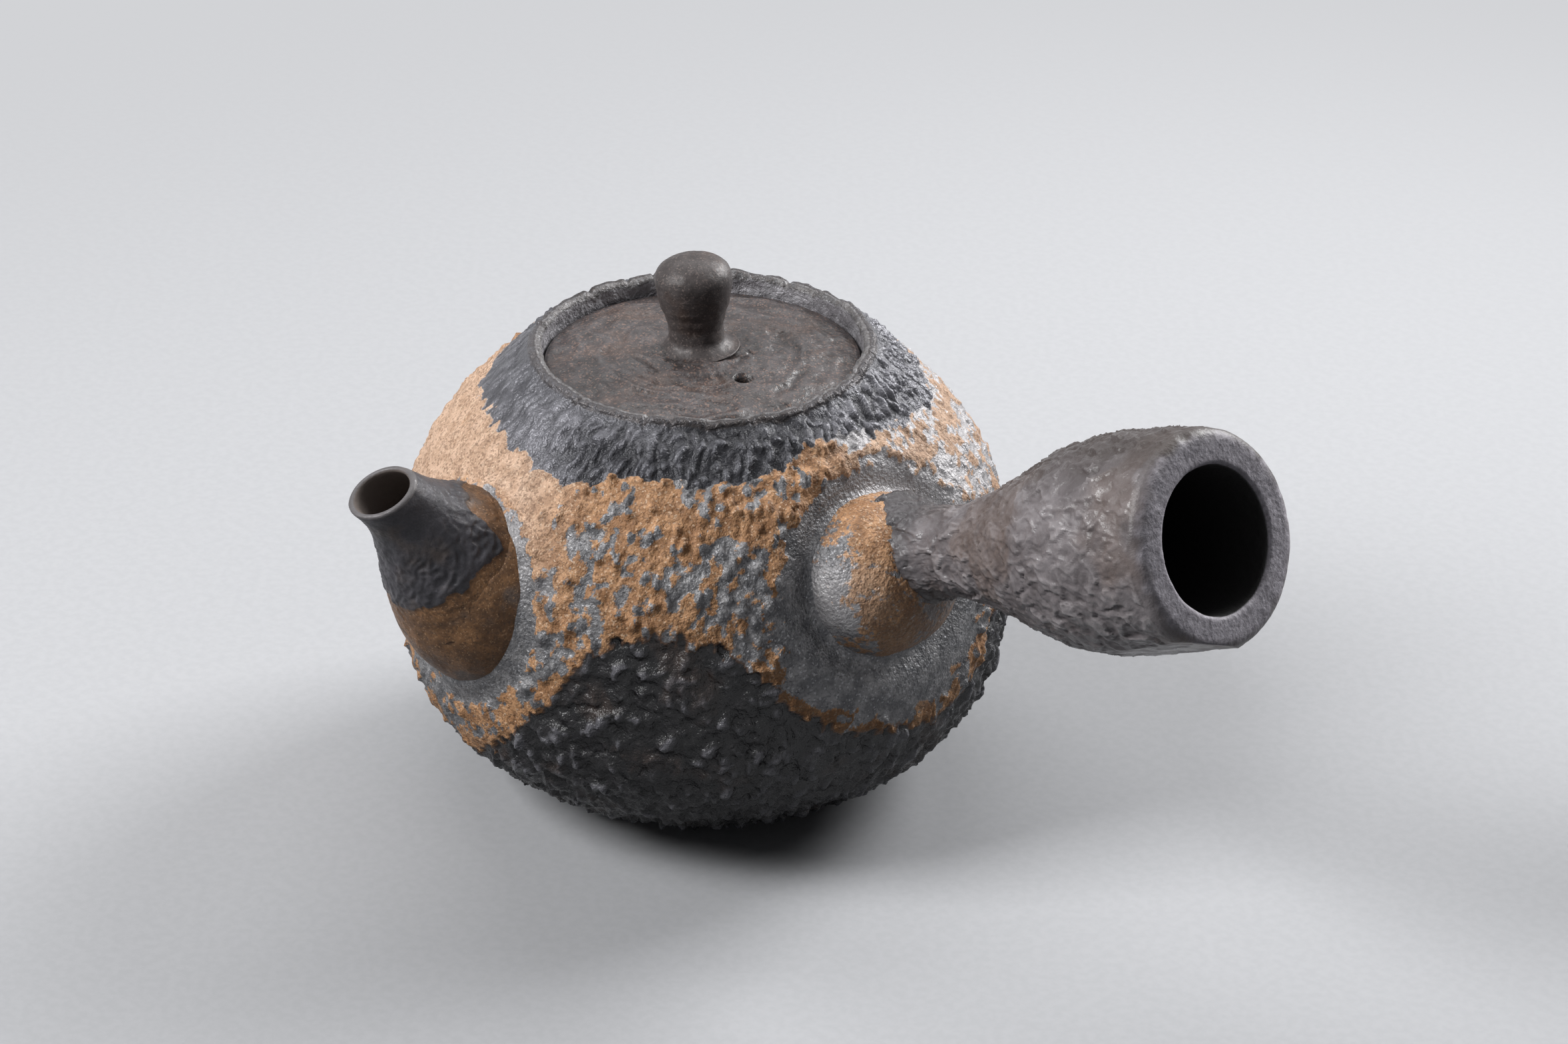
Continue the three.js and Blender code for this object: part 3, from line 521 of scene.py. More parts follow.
def handle_boss():
    """The rounded boss that holds the handle, with the wall's own zones and grain, and painted light and
    shade.
    """
    share = np.concatenate([np.linspace(0.01, 0.8, 50), np.linspace(0.81, 1.08, 40)])[:, None]
    a = round_turn(BOSS_POINTS)
    x, y = SOCKET_ACROSS * share * np.cos(a), SOCKET_ABOVE * share * np.sin(a)
    flat = boss_centre + x[..., None] * boss_side + y[..., None] * boss_up
    shape = flat.shape
    foot = flat.reshape(-1, 3)
    straight_out = float(boss_out[:2] @ boss_centre[:2] / np.hypot(*boss_centre[:2]))
    for _ in range(3):
        gap = np.hypot(foot[:, 0], foot[:, 1]) - wall_radius(foot[:, 2])
        foot = foot - gap[:, None] * boss_out / straight_out
    wide = np.broadcast_to(share, shape[:2]).ravel()
    height = (SOCKET_PROUD + 1.2) * (1 - np.clip(wide, 0, 1) ** 2.1) ** 0.6 - 2.0 * smooth(wide, 0.9, 1.08)
    top = foot + height[:, None] * boss_out
    across, above = (top - boss_centre) @ boss_side, (top - boss_centre) @ boss_up
    place = 0.6 * smooth(-across, -1, 4) + 0.5 * smooth(above, 4, 9) + 0.4 * smooth(-above, 3, 8)
    rim = smooth(wide, 0.74, 0.95) * smooth(-across, 1, 7)
    gold = smooth(place - 0.7 * rim + 0.25 * layered(top, 2.6, 3, 61) + 0.4 * noise(top, 0.9, 62), -0.05, 0.8)
    # Painted shade: the boss is darkened below and right of its middle, under the handle's neck
    dim = smooth(-above, -3, 3) * smooth(across, -5, 2)
    # Painted highlight: the boss's left flank, which faces the left lamp, is made paler
    painted_flank_highlight = 0.6 * smooth(-across, 2, 10) * smooth(7 - np.abs(above), 0, 5)
    grain = 0.1 * gold + 0.16 * noise(top, 4, 63) + 0.07 * ridges(top, 1.3, 64)
    top = (top + boss_out * grain[:, None]).reshape(shape)
    under = (foot - 2.3 * boss_out).reshape(shape)
    blank = np.zeros(shape[:2])
    marks = {name: blank for name in WALL_MARKS}
    marks.update(tan=gold, pale=painted_flank_highlight, halo=1 + blank, dim=dim)
    marks = {name: np.concatenate([blank, values.reshape(shape[:2])[::-1]]) for name, values in marks.items()}
    poles = [under[0].mean(axis=0), top[0].mean(axis=0)]
    return skin("boss", np.concatenate([under, top[::-1]]), poles, marks)


# The spout

spout_wall = float(wall_radius(ROOT_HEIGHT))
root_centre = np.array([spout_wall - ROOT_SUNK, 0, ROOT_HEIGHT])
spout_mouth = np.array([SPOUT_REACH, 0, MOUTH_HEIGHT])
root_way = (spout_mouth - root_centre) / np.linalg.norm(spout_mouth - root_centre)
mouth_way = slope_way(MOUTH_SLOPE)


def spout_root():
    """The swelling: a ball with a straight neck, hollow, and cut off where it enters the wall."""
    def line(less, seam):
        ball, neck = ROOT_RADIUS + ROOT_GROWN - less, NECK_RADIUS - NECK_TUCK - less
        to_neck = math.atan2(SEAM, neck)
        touch = math.degrees(to_neck - math.acos(min(1, ball / math.hypot(neck, SEAM))))
        corner = quarter(neck - SEAM_ROUND, seam - SEAM_ROUND, SEAM_ROUND, 5, 90, 6)
        return np.concatenate([quarter(0, 0, ball, -75, touch, 40), corner])

    outer = evenly(line(0, SEAM), 0.35)
    inner = evenly(line(ROOT_WALL, SEAM + 0.3), 0.8)[::-1]
    grid = spun(np.concatenate([outer, inner]), ROOT_POINTS)
    flat, ways, row = unrolled(grid, True)
    outside = row < len(outer)
    lift = 0.2 * noise(flat, 5, 71) + 0.08 * noise(flat, 1.6, 72)
    flat += ways * (lift * outside)[:, None]
    placed = turned_z(laid_along(flat, root_way, root_centre + (0, 0, ROOT_RAISED)), SPOUT_TURN)
    root = skin("root", placed.reshape(grid.shape), None, {"bronze": outside, "inside": ~outside})
    pot = evenly(WALL - (0.5, 0), 1.5)
    cut(root, skin("pot", spun(pot, 96), [(0, 0, 0), (0, 0, RIM_HEIGHT)]))
    return root


def spout_tube():
    """The tube, whose lower edge is smeared over the root."""
    start = root_centre + (SEAM - 5.0) * root_way
    length = np.linalg.norm(spout_mouth - start)
    line = bezier(start, start + length / 3 * root_way,
                  spout_mouth - length / 3 * slope_way(TUBE_SLOPE), spout_mouth, 110)
    share = np.linspace(0, 1, len(line))
    ways = (1 - share)[:, None] * root_way + share[:, None] * mouth_way
    ways /= np.linalg.norm(ways, axis=1, keepdims=True)
    left = (1 - share) * length
    flare = bezier((0, MOUTH_RADIUS), (7, MOUTH_RADIUS + 0.1), (10.2, 8.6), (length, TUBE_BASE_RADIUS), 60)
    radius = np.interp(left, flare[:, 0], flare[:, 1])
    bore_mouth = MOUTH_RADIUS - LIP_THIN
    bore = bore_mouth + (NECK_RADIUS - SPOUT_STEP - TUBE_WALL - bore_mouth) * (1 - share) ** 2
    a = round_turn(TUBE_POINTS)
    side = np.array([0, 1.0, 0])

    def ring(centre, way, r):
        across = np.cross(side, way)
        return centre + r * (np.cos(a)[:, None] * across + np.sin(a)[:, None] * side)

    tucked = ring(start - 0.1 * root_way, root_way, radius[0] - 1.2)
    outer = [tucked] + [ring(c, w, r) for c, w, r in zip(line, ways, radius)]
    edge = [ring(spout_mouth + 0.28 * mouth_way, mouth_way, MOUTH_RADIUS - 0.2),
            ring(spout_mouth + 0.3 * mouth_way, mouth_way, bore_mouth + 0.2)]
    inner = [ring(c, w, r) for c, w, r in zip(line[::-5], ways[::-5], bore[::-5])]
    grid = np.array(outer + edge + inner)
    flat, out, row = unrolled(grid, True)
    skin_rows = row <= len(line)
    from_mouth = np.interp(row, np.arange(len(line)) + 1, left)
    crown = smooth(-0.95 * np.cos(a) + 0.3 * np.sin(a), 0.66, 0.97)
    border = 15.4 - 0.06 * flat[:, 1] - 6 * np.tile(crown, len(grid)) + 0.8 * noise(flat, 3.6, 88)
    cover = smooth(border + 0.5 * noise(flat, 1.3, 89) - from_mouth, -0.3, 0.5)
    low = smooth(from_mouth, 4, 11) * (0.35 + 0.65 * cover) * skin_rows
    bent = flat + 0.8 * drift(flat, 2.5, 81)
    wrinkle = 0.22 * ridges(bent, (1.6, 1.6, 1.8), 84) + 0.14 * noise(flat, 0.8, 85) - 0.1
    gentle = 0.12 * noise(flat, 4, 86) + 0.05 * noise(flat, 1.2, 87)
    flat += out * (wrinkle * low + (gentle - 0.25 * (1 - cover)) * skin_rows)[:, None]
    flat -= (0.6 * (row < 2))[:, None] * root_way
    inside = row >= len(line) + 3
    marks = {"bronze": (1 - cover) * skin_rows, "lip": (row >= len(line) - 1) & ~inside, "inside": inside}
    return skin("spout_tube", turned_z(flat, SPOUT_TURN).reshape(grid.shape), None, marks)


# The handle

def handle_radius(along):
    swell_end = HANDLE_REACH - HANDLE_BARREL
    swell = smooth(along, swell_end - HANDLE_SWELL, swell_end)
    root = np.maximum(0, 1 - (along - HANDLE_START) / (2 * HANDLE_ROOT_LENGTH))
    return (HANDLE_NECK_RADIUS + (HANDLE_RADIUS - HANDLE_NECK_RADIUS) * swell
            + (HANDLE_ROOT_RADIUS + HANDLE_GROWN - HANDLE_NECK_RADIUS) * root ** 2)


def handle():
    start, end = HANDLE_START - 1, HANDLE_REACH
    along = np.linspace(start, end - HANDLE_END_ROUND, 200)
    outer = np.stack([handle_radius(along), along], axis=1)
    bead = quarter(HANDLE_RADIUS - HANDLE_END_ROUND, end - HANDLE_END_ROUND, HANDLE_END_ROUND, 5, 90, 9)
    face = evenly([(HANDLE_RADIUS - HANDLE_END_ROUND - 0.3, end), (HANDLE_BORE_RADIUS + 0.8, end)], 0.4)
    mouth = quarter(HANDLE_BORE_RADIUS + HANDLE_MOUTH_ROUND, end - HANDLE_MOUTH_ROUND,
                    HANDLE_MOUTH_ROUND, 100, 180)
    deep = np.linspace(end - 1.4, end - HANDLE_HOLLOW, 30)
    bore = np.stack([np.minimum(HANDLE_BORE_RADIUS, handle_radius(deep) - HANDLE_WALL), deep], axis=1)
    profile = np.concatenate([outer, bead, face, mouth, bore])
    grid = spun(profile, HANDLE_POINTS)
    flat, out, row = unrolled(grid, False)
    skin_rows = row < len(outer)
    bent = flat + 1.1 * drift(flat, 3.0, 91)
    fold, small = ridges(bent, (1.8, 1.8, 2.3), 94), ridges(bent, (1.0, 1.0, 1.3), 95)
    crumple = crags(bent, (2.1, 2.1, 2.7), 104)
    crease = 0.3 * crumple + 0.17 * fold + 0.14 * small
    crease = crease + 0.25 * noise(flat, 6, 96) + 0.07 * noise(flat, 0.7, 97)
    calm = 1 - 0.6 * smooth(flat[:, 2], 100, 104)
    lift = np.where(skin_rows, crease * calm, 0.08 * noise(flat, 3, 98) + 0.03 * noise(flat, 0.8, 99))
    flat = flat + out * (lift * (row < len(outer) + len(bead) + len(face) + len(mouth)))[:, None]
    tilt = math.radians(HANDLE_FLAT_SLOPE)
    away = math.radians(180 - HANDLE_FLAT_TURN)
    cut_way = np.array([math.cos(tilt) * math.cos(away), -math.cos(tilt) * math.sin(away), math.sin(tilt)])
    past = flat @ cut_way - ((HANDLE_RADIUS - HANDLE_FLAT_DEPTH) * math.cos(tilt) + end * math.sin(tilt))
    past = past - 0.12 * noise(flat, 2.5, 100)
    flat = flat - np.maximum(past, 0)[:, None] * cut_way
    notch = (-HANDLE_RADIUS, -0.6, end - 0.6)
    near = np.linalg.norm((flat - notch) / (1.6, 1.5, 1.4), axis=1)
    flat = flat - out * (0.3 * smooth(1 - near, 0, 0.8))[:, None]
    marks = {"face": smooth(row + 3 * noise(flat, 2, 101), len(outer) + 3, len(outer) + 9),
             "inside": row >= len(profile) - len(bore) - 2,
             # root darkens the neck where it meets the boss: partly a darker clay, partly painted shade of
             # the joint
             "root": smooth(57 - flat[:, 2] + 3 * noise(flat, 5, 102), 0, 7),
             # fold follows the relief's height and paints shade in its creases and highlights on its ridges
             "fold": np.where(skin_rows, 0.45 + 0.3 * crumple + 0.2 * fold + 0.15 * small, 0.5),
             # crown darkens the handle's top side: partly a darker brown tone, partly painted shade
             "crown": smooth(0.5 * flat[:, 1] - 0.87 * flat[:, 0] + 2 * noise(flat, 6, 103), 2, 11)}
    way = np.array(Matrix.Rotation(math.radians(90 - HANDLE_TILT), 3, "Y")).T
    line_height = (0, 0, HANDLE_LINE_HEIGHT)
    placed = flat @ way + line_height
    poles = np.array([(0, 0, start), (0, 0, end - HANDLE_HOLLOW - 0.5)]) @ way + line_height
    return skin("handle_grip", placed.reshape(grid.shape), poles, marks)


# The lid

def lid_disc():
    radius = RIM_RADIUS - LIP_WALL - LID_SIDE_GAP
    under = LID_TOP_EDGE - LID_EDGE
    top = np.linspace(radius - LID_ROUND, 0.4, 96)
    profile = np.concatenate([evenly([(1, under), (radius - 0.4, under)], 1.2),
                              quarter(radius - 0.4, under + 0.4, 0.4, -80, 0, 4),
                              quarter(radius - LID_ROUND, LID_TOP_EDGE - LID_ROUND, LID_ROUND, 0, 80, 4),
                              np.stack([top, LID_TOP_EDGE + LID_RISE * (1 - (top / radius) ** 2)], axis=1)])
    grid = spun(profile, LID_POINTS)
    flat, _, row = unrolled(grid, False)
    r = np.hypot(flat[:, 0], flat[:, 1])
    turn = np.arctan2(flat[:, 1], flat[:, 0]) + 0.09 * r
    swirl = np.stack([r, 7 * np.cos(turn), 7 * np.sin(turn)], axis=1)
    fold = ridges(swirl + 1.5 * drift(flat, 5, 111), (2.6, 4.2, 4.2), 114)
    lift = 0.26 * fold + 0.4 * noise(flat, 5, 115)
    lift += 0.24 * noise(flat, 2.2, 116) + 0.08 * noise(flat, 0.9, 117)
    dimple = np.exp(-np.sum((flat[:, :2] - (6.6, 3.2)) ** 2, axis=1) / 0.7)
    at = from_axis(VENT_OFFSET, VENT_TURN, 0)
    calm = smooth(r, radius + 0.1, radius - 2) * (row >= len(profile) - len(top))
    lift = lift * smooth(np.linalg.norm(flat[:, :2] - at[:2], axis=1), 1.2, 4.5)
    flat[:, 2] += (lift * (0.35 + 0.65 * calm) - 0.55 * dimple) * calm
    poles = [(0, 0, under), (0, 0, LID_TOP_EDGE + LID_RISE)]
    # fold follows the swirled ridges and paints highlights on them
    disc = skin("lid_disc", flat.reshape(grid.shape), poles, {"fold": 0.5 + 0.4 * fold * calm})
    hole = spun(np.array([(VENT_RADIUS + 0.15, under - 2), (VENT_RADIUS + 0.15, LID_TOP_EDGE + 4)]), 40) + at
    cut(disc, skin("vent", hole, [at + (0, 0, under - 2), at + (0, 0, LID_TOP_EDGE + 4)]))
    return disc


def knob():
    low = KNOB_HEIGHT - KNOB_CAP_HEIGHT
    rise = low - KNOB_FOOT_HEIGHT
    stem = bezier((KNOB_NECK_RADIUS, KNOB_FOOT_HEIGHT), (KNOB_NECK_RADIUS, KNOB_FOOT_HEIGHT + 0.3 * rise),
                  (KNOB_CAP_RADIUS, KNOB_FOOT_HEIGHT + 0.6 * rise), (KNOB_CAP_RADIUS, low), 40)
    a = np.radians(np.linspace(270, 180, 24))
    flared = KNOB_FOOT_RADIUS + 1.1
    foot = np.stack([flared + (flared - KNOB_NECK_RADIUS) * np.cos(a),
                     KNOB_FOOT_HEIGHT + KNOB_FOOT_HEIGHT * 1.05 * np.sin(a)], axis=1)
    b = np.radians(np.linspace(4, 88, 30))
    dome = np.stack([KNOB_CAP_RADIUS * np.cos(b), low + KNOB_CAP_HEIGHT * np.sin(b)], axis=1)
    profile = np.concatenate([[(2, -KNOB_SUNK), (KNOB_FOOT_RADIUS + 0.9, -KNOB_SUNK)], foot, stem[1:], dome])
    grid = spun(evenly(profile, 0.22), KNOB_POINTS)
    flat, out, _ = unrolled(grid, False)
    rings = 0.05 * np.sin(3.1 * flat[:, 2] + 2 * noise(flat, 5, 121)) * smooth(9 - flat[:, 2], 0, 3)
    flat += out * (0.12 * noise(flat, 4, 122) + 0.05 * noise(flat, 1.1, 123) + rings)[:, None]
    turn = math.radians(KNOB_TURN)
    lean = np.array(Matrix.Rotation(turn, 3, "Z") @ Matrix.Rotation(math.radians(KNOB_LEAN), 3, "Y")).T
    seat = LID_TOP_EDGE + LID_RISE - 0.15 + KNOB_FOOT_RADIUS * math.sin(math.radians(KNOB_LEAN))
    at = from_axis(KNOB_OFFSET, KNOB_TURN, seat)
    poles = np.array([(0, 0, -KNOB_SUNK), (0, 0, KNOB_HEIGHT)]) @ lean + at
    return skin("knob", (flat @ lean + at).reshape(grid.shape), poles)


# Materials

class Look:
    """A material's nodes, each added by one call."""

    def __init__(self, name):
        self.material = bpy.data.materials.new(name)
        self.material.use_nodes = True
        self.tree = self.material.node_tree
        self.shader = self.tree.nodes["Principled BSDF"]
        self.place = self.add("ShaderNodeTexCoord").outputs["Object"]

    def add(self, kind, inputs=None, **settings):
        node = self.tree.nodes.new(kind)
        for key, value in settings.items():
            setattr(node, key, value)
        for key, value in (inputs or {}).items():
            self.put(node.inputs[key], value)
        return node

    def put(self, socket, value):
        if isinstance(value, bpy.types.NodeSocket):
            self.tree.links.new(value, socket)
        else:
            socket.default_value = value

    def marks(self, *names):
        return [self.add("ShaderNodeAttribute", attribute_name=name).outputs["Fac"] for name in names]

    def noise(self, size_mm, detail=3.0, roughness=0.55, stretch=(1, 1, 1)):
        place = self.place
        if stretch != (1, 1, 1):
            place = self.add("ShaderNodeMapping", {"Vector": place, "Scale": stretch}).outputs["Vector"]
        inputs = {"Vector": place, "Scale": 1000 / size_mm, "Detail": detail, "Roughness": roughness}
        return self.add("ShaderNodeTexNoise", inputs).outputs["Fac"]

    def specks(self, size_mm):
        """A number of its own, 0 to 1, for each grain of the clay."""
        grains = self.add("ShaderNodeTexVoronoi", {"Vector": self.place, "Scale": 1000 / size_mm})
        return self.add("ShaderNodeSeparateColor", {0: grains.outputs["Color"]}).outputs[0]

    def math(self, operation, a, b):
        return self.add("ShaderNodeMath", {0: a, 1: b}, operation=operation).outputs[0]

    def times(self, a, b):
        return self.math("MULTIPLY", a, b)

    def band(self, value, low, high, to_low=0.0, to_high=1.0):
        inputs = {"Value": value, "From Min": low, "From Max": high, "To Min": to_low, "To Max": to_high}
        return self.add("ShaderNodeMapRange", inputs, interpolation_type="SMOOTHSTEP").outputs["Result"]

    def mix(self, share, a, b):
        """Two colours, each a socket or 0 to 255 screen values, the second with a share of 0 to 1."""
        node = self.add("ShaderNodeMix", data_type="RGBA")
        self.put(node.inputs["Factor"], share)
        for socket, color in ((node.inputs[6], a), (node.inputs[7], b)):
            self.put(socket, color if isinstance(color, bpy.types.NodeSocket) else screen(*color))
        return node.outputs[2]

    def centred(self, value, strength):
        """A value from 0 to 1 made to swing both ways, by half the strength."""
        return self.times(self.math("SUBTRACT", value, 0.5), strength)

    def blend(self, share, a, b):
        node = self.add("ShaderNodeMix", data_type="FLOAT")
        self.put(node.inputs["Factor"], share)
        self.put(node.inputs[2], a)
        self.put(node.inputs[3], b)
        return node.outputs[0]

    def bumps(self, *layers):
        """Chained bumps, each a height, a strength and a depth in millimetres."""
        normal = None
        for height, strength, depth in layers:
            inputs = {"Height": height, "Strength": strength, "Distance": depth * MM}
            if normal is not None:
                inputs["Normal"] = normal
            normal = self.add("ShaderNodeBump", inputs).outputs["Normal"]
        return normal

    def finish(self, color, roughness, normal, **sockets):
        sockets.update(Base_Color=color, Roughness=roughness, Normal=normal)
        for key, value in sockets.items():
            self.put(self.shader.inputs[key.replace("_", " ")], value)
        return self.material


def screen(*values):
    """A colour for a socket, from 0 to 255 screen values."""
    return *(((v / 255 + 0.055) / 1.055) ** 2.4 if v > 10 else v / 255 / 12.92 for v in values), 1


def wall_clay():
    look = Look("wall_clay")
    skirt, rock, halo, tan, pale, rise, inside, lip, dim = look.marks(*WALL_MARKS, "dim")
    fine, grit = look.noise(0.55, 2), look.noise(0.24, 2)
    patch, wide = look.noise(2.4, 4), look.noise(9, 3)
    grain, glint = look.specks(0.3), look.specks(0.26)
    cloud = look.band(patch, 0.35, 0.65)
    gold = look.mix(cloud, (152, 110, 74), (200, 153, 112))
    peach = look.mix(cloud, (190, 156, 130), (222, 188, 162))
    # Peach where pale: a paler clay tone, partly painted highlight
    crust = look.mix(look.times(pale, look.band(wide, 0.1, 0.42)), gold, peach)
    crust = look.mix(look.band(grain, 0.05, 0.5, 0.55, 0.0), crust, (100, 72, 50))
    crust = look.mix(look.band(glint, 0.86, 0.97, 0.0, 0.4), crust, (250, 222, 192))
    grey = look.mix(cloud, (96, 96, 98), (140, 139, 140))
    grey = look.mix(look.band(grain, 0.0, 0.45, 0.55, 0.0), grey, (66, 67, 72))
    grey = look.mix(look.band(glint, 0.88, 0.98, 0.0, 0.35), grey, (206, 206, 210))
    # A lighter grey where pale: partly painted highlight
    pale_grey = look.mix(fine, (166, 163, 164), (210, 206, 207))
    grey = look.mix(look.times(pale, 0.75), grey, pale_grey)
    coal = look.mix(cloud, (34, 34, 38), (62, 62, 67))
    # Painted highlight on the skirt's raised relief
    coal = look.mix(look.band(rise, 0.35, 0.95, 0.0, 0.6), coal, (112, 112, 118))
    # A lighter slate on the skirt where pale: partly painted highlight
    slate = look.mix(patch, (104, 104, 109), (162, 161, 168))
    coal = look.mix(look.times(pale, 0.7), coal, slate)
    # Painted shade in the skirt's low relief
    coal = look.mix(look.band(rise, 0.38, 0.05, 0.0, 0.75), coal, (40, 40, 44))
    coal = look.mix(look.band(grain, 0.0, 0.4, 0.4, 0.0), coal, (44, 44, 48))
    stone = look.mix(look.band(patch, 0.4, 0.7), (16, 15, 17), (38, 36, 38))
    # Painted highlight on the rock's raised lumps
    stone = look.mix(look.band(rise, 0.4, 1.0, 0.0, 0.85), stone, (114, 113, 119))
    stone = look.mix(look.band(wide, 0.54, 0.68, 0.0, 0.4), stone, (74, 58, 50))
    ragged, sandy = look.centred(fine, 0.7), look.centred(grain, 0.4)
    edge = look.band(look.math("ADD", look.math("ADD", tan, sandy), ragged), 0.26, 0.7)
    color = look.mix(edge, grey, crust)
    brown = look.times(look.band(rock, 0.02, 0.4), look.band(rock, 0.95, 0.5))
    color = look.mix(look.band(look.math("ADD", skirt, ragged), 0.35, 0.65), color, coal)
    color = look.mix(look.band(look.math("ADD", rock, ragged), 0.35, 0.65), color, stone)
    color = look.mix(look.times(brown, 0.8), color, (102, 74, 54))
    color = look.mix(look.times(lip, look.band(fine, 0.35, 0.6, 0.2, 0.55)), color, (80, 72, 68))
    color = look.mix(inside, color, look.mix(cloud, (134, 131, 135), (168, 166, 170)))
    # Painted shade on the boss under the handle's neck
    color = look.mix(look.times(dim, 0.6), color, (70, 50, 36))
    rough = look.blend(edge, 0.5, 0.64)
    rough = look.blend(halo, rough, 0.48)
    rough = look.blend(skirt, rough, 0.38)
    rough = look.blend(rock, rough, 0.3)
    rough = look.math("ADD", rough, look.band(glint, 0.84, 0.97, 0.0, -0.1))
    rough = look.blend(inside, rough, 0.55)
    depth = look.blend(look.math("MAXIMUM", skirt, rock), 1.0, 0.4)
    speckle = look.times(grain, depth)
    normal = look.bumps((patch, 0.5, 0.4), (fine, 0.9, 0.34), (speckle, 0.8, 0.14), (grit, 0.7, 0.09))
    bare = look.times(look.math("SUBTRACT", 1.0, edge), look.math("SUBTRACT", 1.0, rock))
    return look.finish(color, rough, normal, Metallic=look.times(bare, 0.35), Specular_IOR_Level=0.45)


def spout_clay():
    look = Look("spout_clay")
    lip, inside, bronze = look.marks("lip", "inside", "bronze")
    patch, fine, grit = look.noise(3, 4), look.noise(0.55, 3), look.noise(0.22, 2)
    grain, glint = look.specks(0.3), look.specks(0.2)
    brown = look.mix(look.band(patch, 0.3, 0.7), (88, 62, 40), (134, 98, 66))
    brown = look.mix(look.band(look.noise(7, 3), 0.52, 0.68, 0.0, 0.8), brown, (100, 90, 84))
    brown = look.mix(look.band(grain, 0.0, 0.45, 0.55, 0.0), brown, (58, 42, 30))
    brown = look.mix(look.band(glint, 0.88, 0.98, 0.0, 0.4), brown, (196, 158, 120))
    coal = look.mix(look.band(patch, 0.3, 0.7), (50, 49, 53), (80, 78, 83))
    coal = look.mix(look.band(look.noise(6, 4), 0.5, 0.7, 0.0, 0.8), coal, (76, 67, 62))
    coal = look.mix(look.band(grain, 0.0, 0.35, 0.35, 0.0), coal, (40, 39, 42))
    coal = look.mix(look.times(lip, 0.3), coal, (150, 145, 143))
    ragged = look.centred(fine, 0.5)
    color = look.mix(look.band(look.math("ADD", bronze, ragged), 0.3, 0.7), coal, brown)
    color = look.mix(inside, color, (128, 118, 112))
    rough = look.blend(inside, look.band(fine, 0.3, 0.7, 0.44, 0.56), 0.8)
    rough = look.math("ADD", rough, look.band(glint, 0.84, 0.97, 0.0, -0.12))
    normal = look.bumps((patch, 0.3, 0.35), (fine, 0.45, 0.15), (grain, 0.5, 0.08), (grit, 0.4, 0.05))
    return look.finish(color, rough, normal, Metallic=0.15, Specular_IOR_Level=0.4)


def taupe_clay():
    look = Look("taupe_clay")
    face, inside, fold, root, crown = look.marks("face", "inside", "fold", "root", "crown")
    patch, fine, grit = look.noise(5, 4), look.noise(0.7, 3), look.noise(0.24, 2)
    color = look.mix(look.band(patch, 0.3, 0.7), (94, 88, 89), (132, 126, 128))
    # Painted shade in the creases of the crumpled relief and painted highlight on its ridges
    color = look.mix(look.band(fold, 0.5, 0.05, 0.0, 0.6), color, (56, 50, 49))
    color = look.mix(look.band(fold, 0.6, 1.0, 0.0, 0.5), color, (176, 170, 172))
    color = look.mix(look.band(look.noise(12, 2), 0.5, 0.62, 0.0, 0.35), color, (104, 84, 70))
    # Darker brown along the top side of the handle: partly the clay's own tone, partly painted shade
    color = look.mix(look.times(crown, 0.85), color, (58, 49, 45))
    # Darker near the root, where the neck meets the boss: partly a darker clay, partly painted shade of the
    # joint
    color = look.mix(look.times(root, 0.75), color, (66, 64, 66))
    violet = look.mix(look.band(fine, 0.3, 0.7), (170, 165, 173), (206, 201, 210))
    violet = look.mix(look.band(look.specks(0.35), 0.0, 0.3, 0.4, 0.0), violet, (94, 88, 93))
    color = look.mix(face, color, violet)
    # Painted shade: the inside of the bore is painted near-black
    color = look.mix(inside, color, (20, 19, 19))
    rough = look.blend(face, look.band(fold, 0.3, 0.9, 0.5, 0.27), 0.6)
    normal = look.bumps((look.noise(1.6, 3), 0.4, 0.4), (fine, 0.5, 0.18), (grit, 0.5, 0.06))
    return look.finish(color, rough, normal, Specular_IOR_Level=0.42)


def lid_clay():
    look = Look("lid_clay")
    [fold] = look.marks("fold")
    patch, fine, grit = look.noise(4, 5), look.noise(0.6, 3), look.noise(0.22, 2)
    color = look.mix(look.band(patch, 0.3, 0.7), (48, 43, 42), (72, 66, 66))
    # Painted highlight: the ridges of the swirled relief are made lighter
    color = look.mix(look.band(fold, 0.66, 0.98, 0.0, 0.35), color, (118, 112, 112))
    color = look.mix(look.band(look.noise(7, 3), 0.5, 0.68, 0.0, 0.45), color, (94, 76, 67))
    grain = look.specks(0.24)
    color = look.mix(look.band(grain, 0.8, 0.96, 0.0, 0.6), color, (136, 110, 98))
    color = look.mix(look.band(grain, 0.0, 0.25, 0.6, 0.0), color, (46, 41, 41))
    normal = look.bumps((look.noise(1.8, 4), 0.65, 0.6), (fine, 0.5, 0.15), (grit, 0.45, 0.06))
    return look.finish(color, look.band(fine, 0.3, 0.7, 0.3, 0.42), normal, Specular_IOR_Level=0.45)


def knob_clay():
    look = Look("knob_clay")
    patch, fine, grit = look.noise(4, 4), look.noise(0.5, 3), look.noise(0.22, 2)
    color = look.mix(look.band(patch, 0.3, 0.7), (56, 50, 49), (80, 74, 73))
    color = look.mix(look.band(look.noise(6, 3), 0.52, 0.66, 0.0, 0.5), color, (86, 70, 62))
    grain = look.specks(0.22)
    color = look.mix(look.band(grain, 0.8, 0.97, 0.0, 0.35), color, (140, 126, 120))
    color = look.mix(look.band(grain, 0.0, 0.25, 0.5, 0.0), color, (46, 41, 41))
    rings = look.noise(1.2, 3, stretch=(0.4, 0.4, 2.5))
    normal = look.bumps((rings, 0.25, 0.2), (fine, 0.4, 0.1), (grit, 0.4, 0.05))
    rough = look.band(fine, 0.3, 0.7, 0.4, 0.54)
    return look.finish(color, rough, normal, Metallic=0.1, Specular_IOR_Level=0.35)


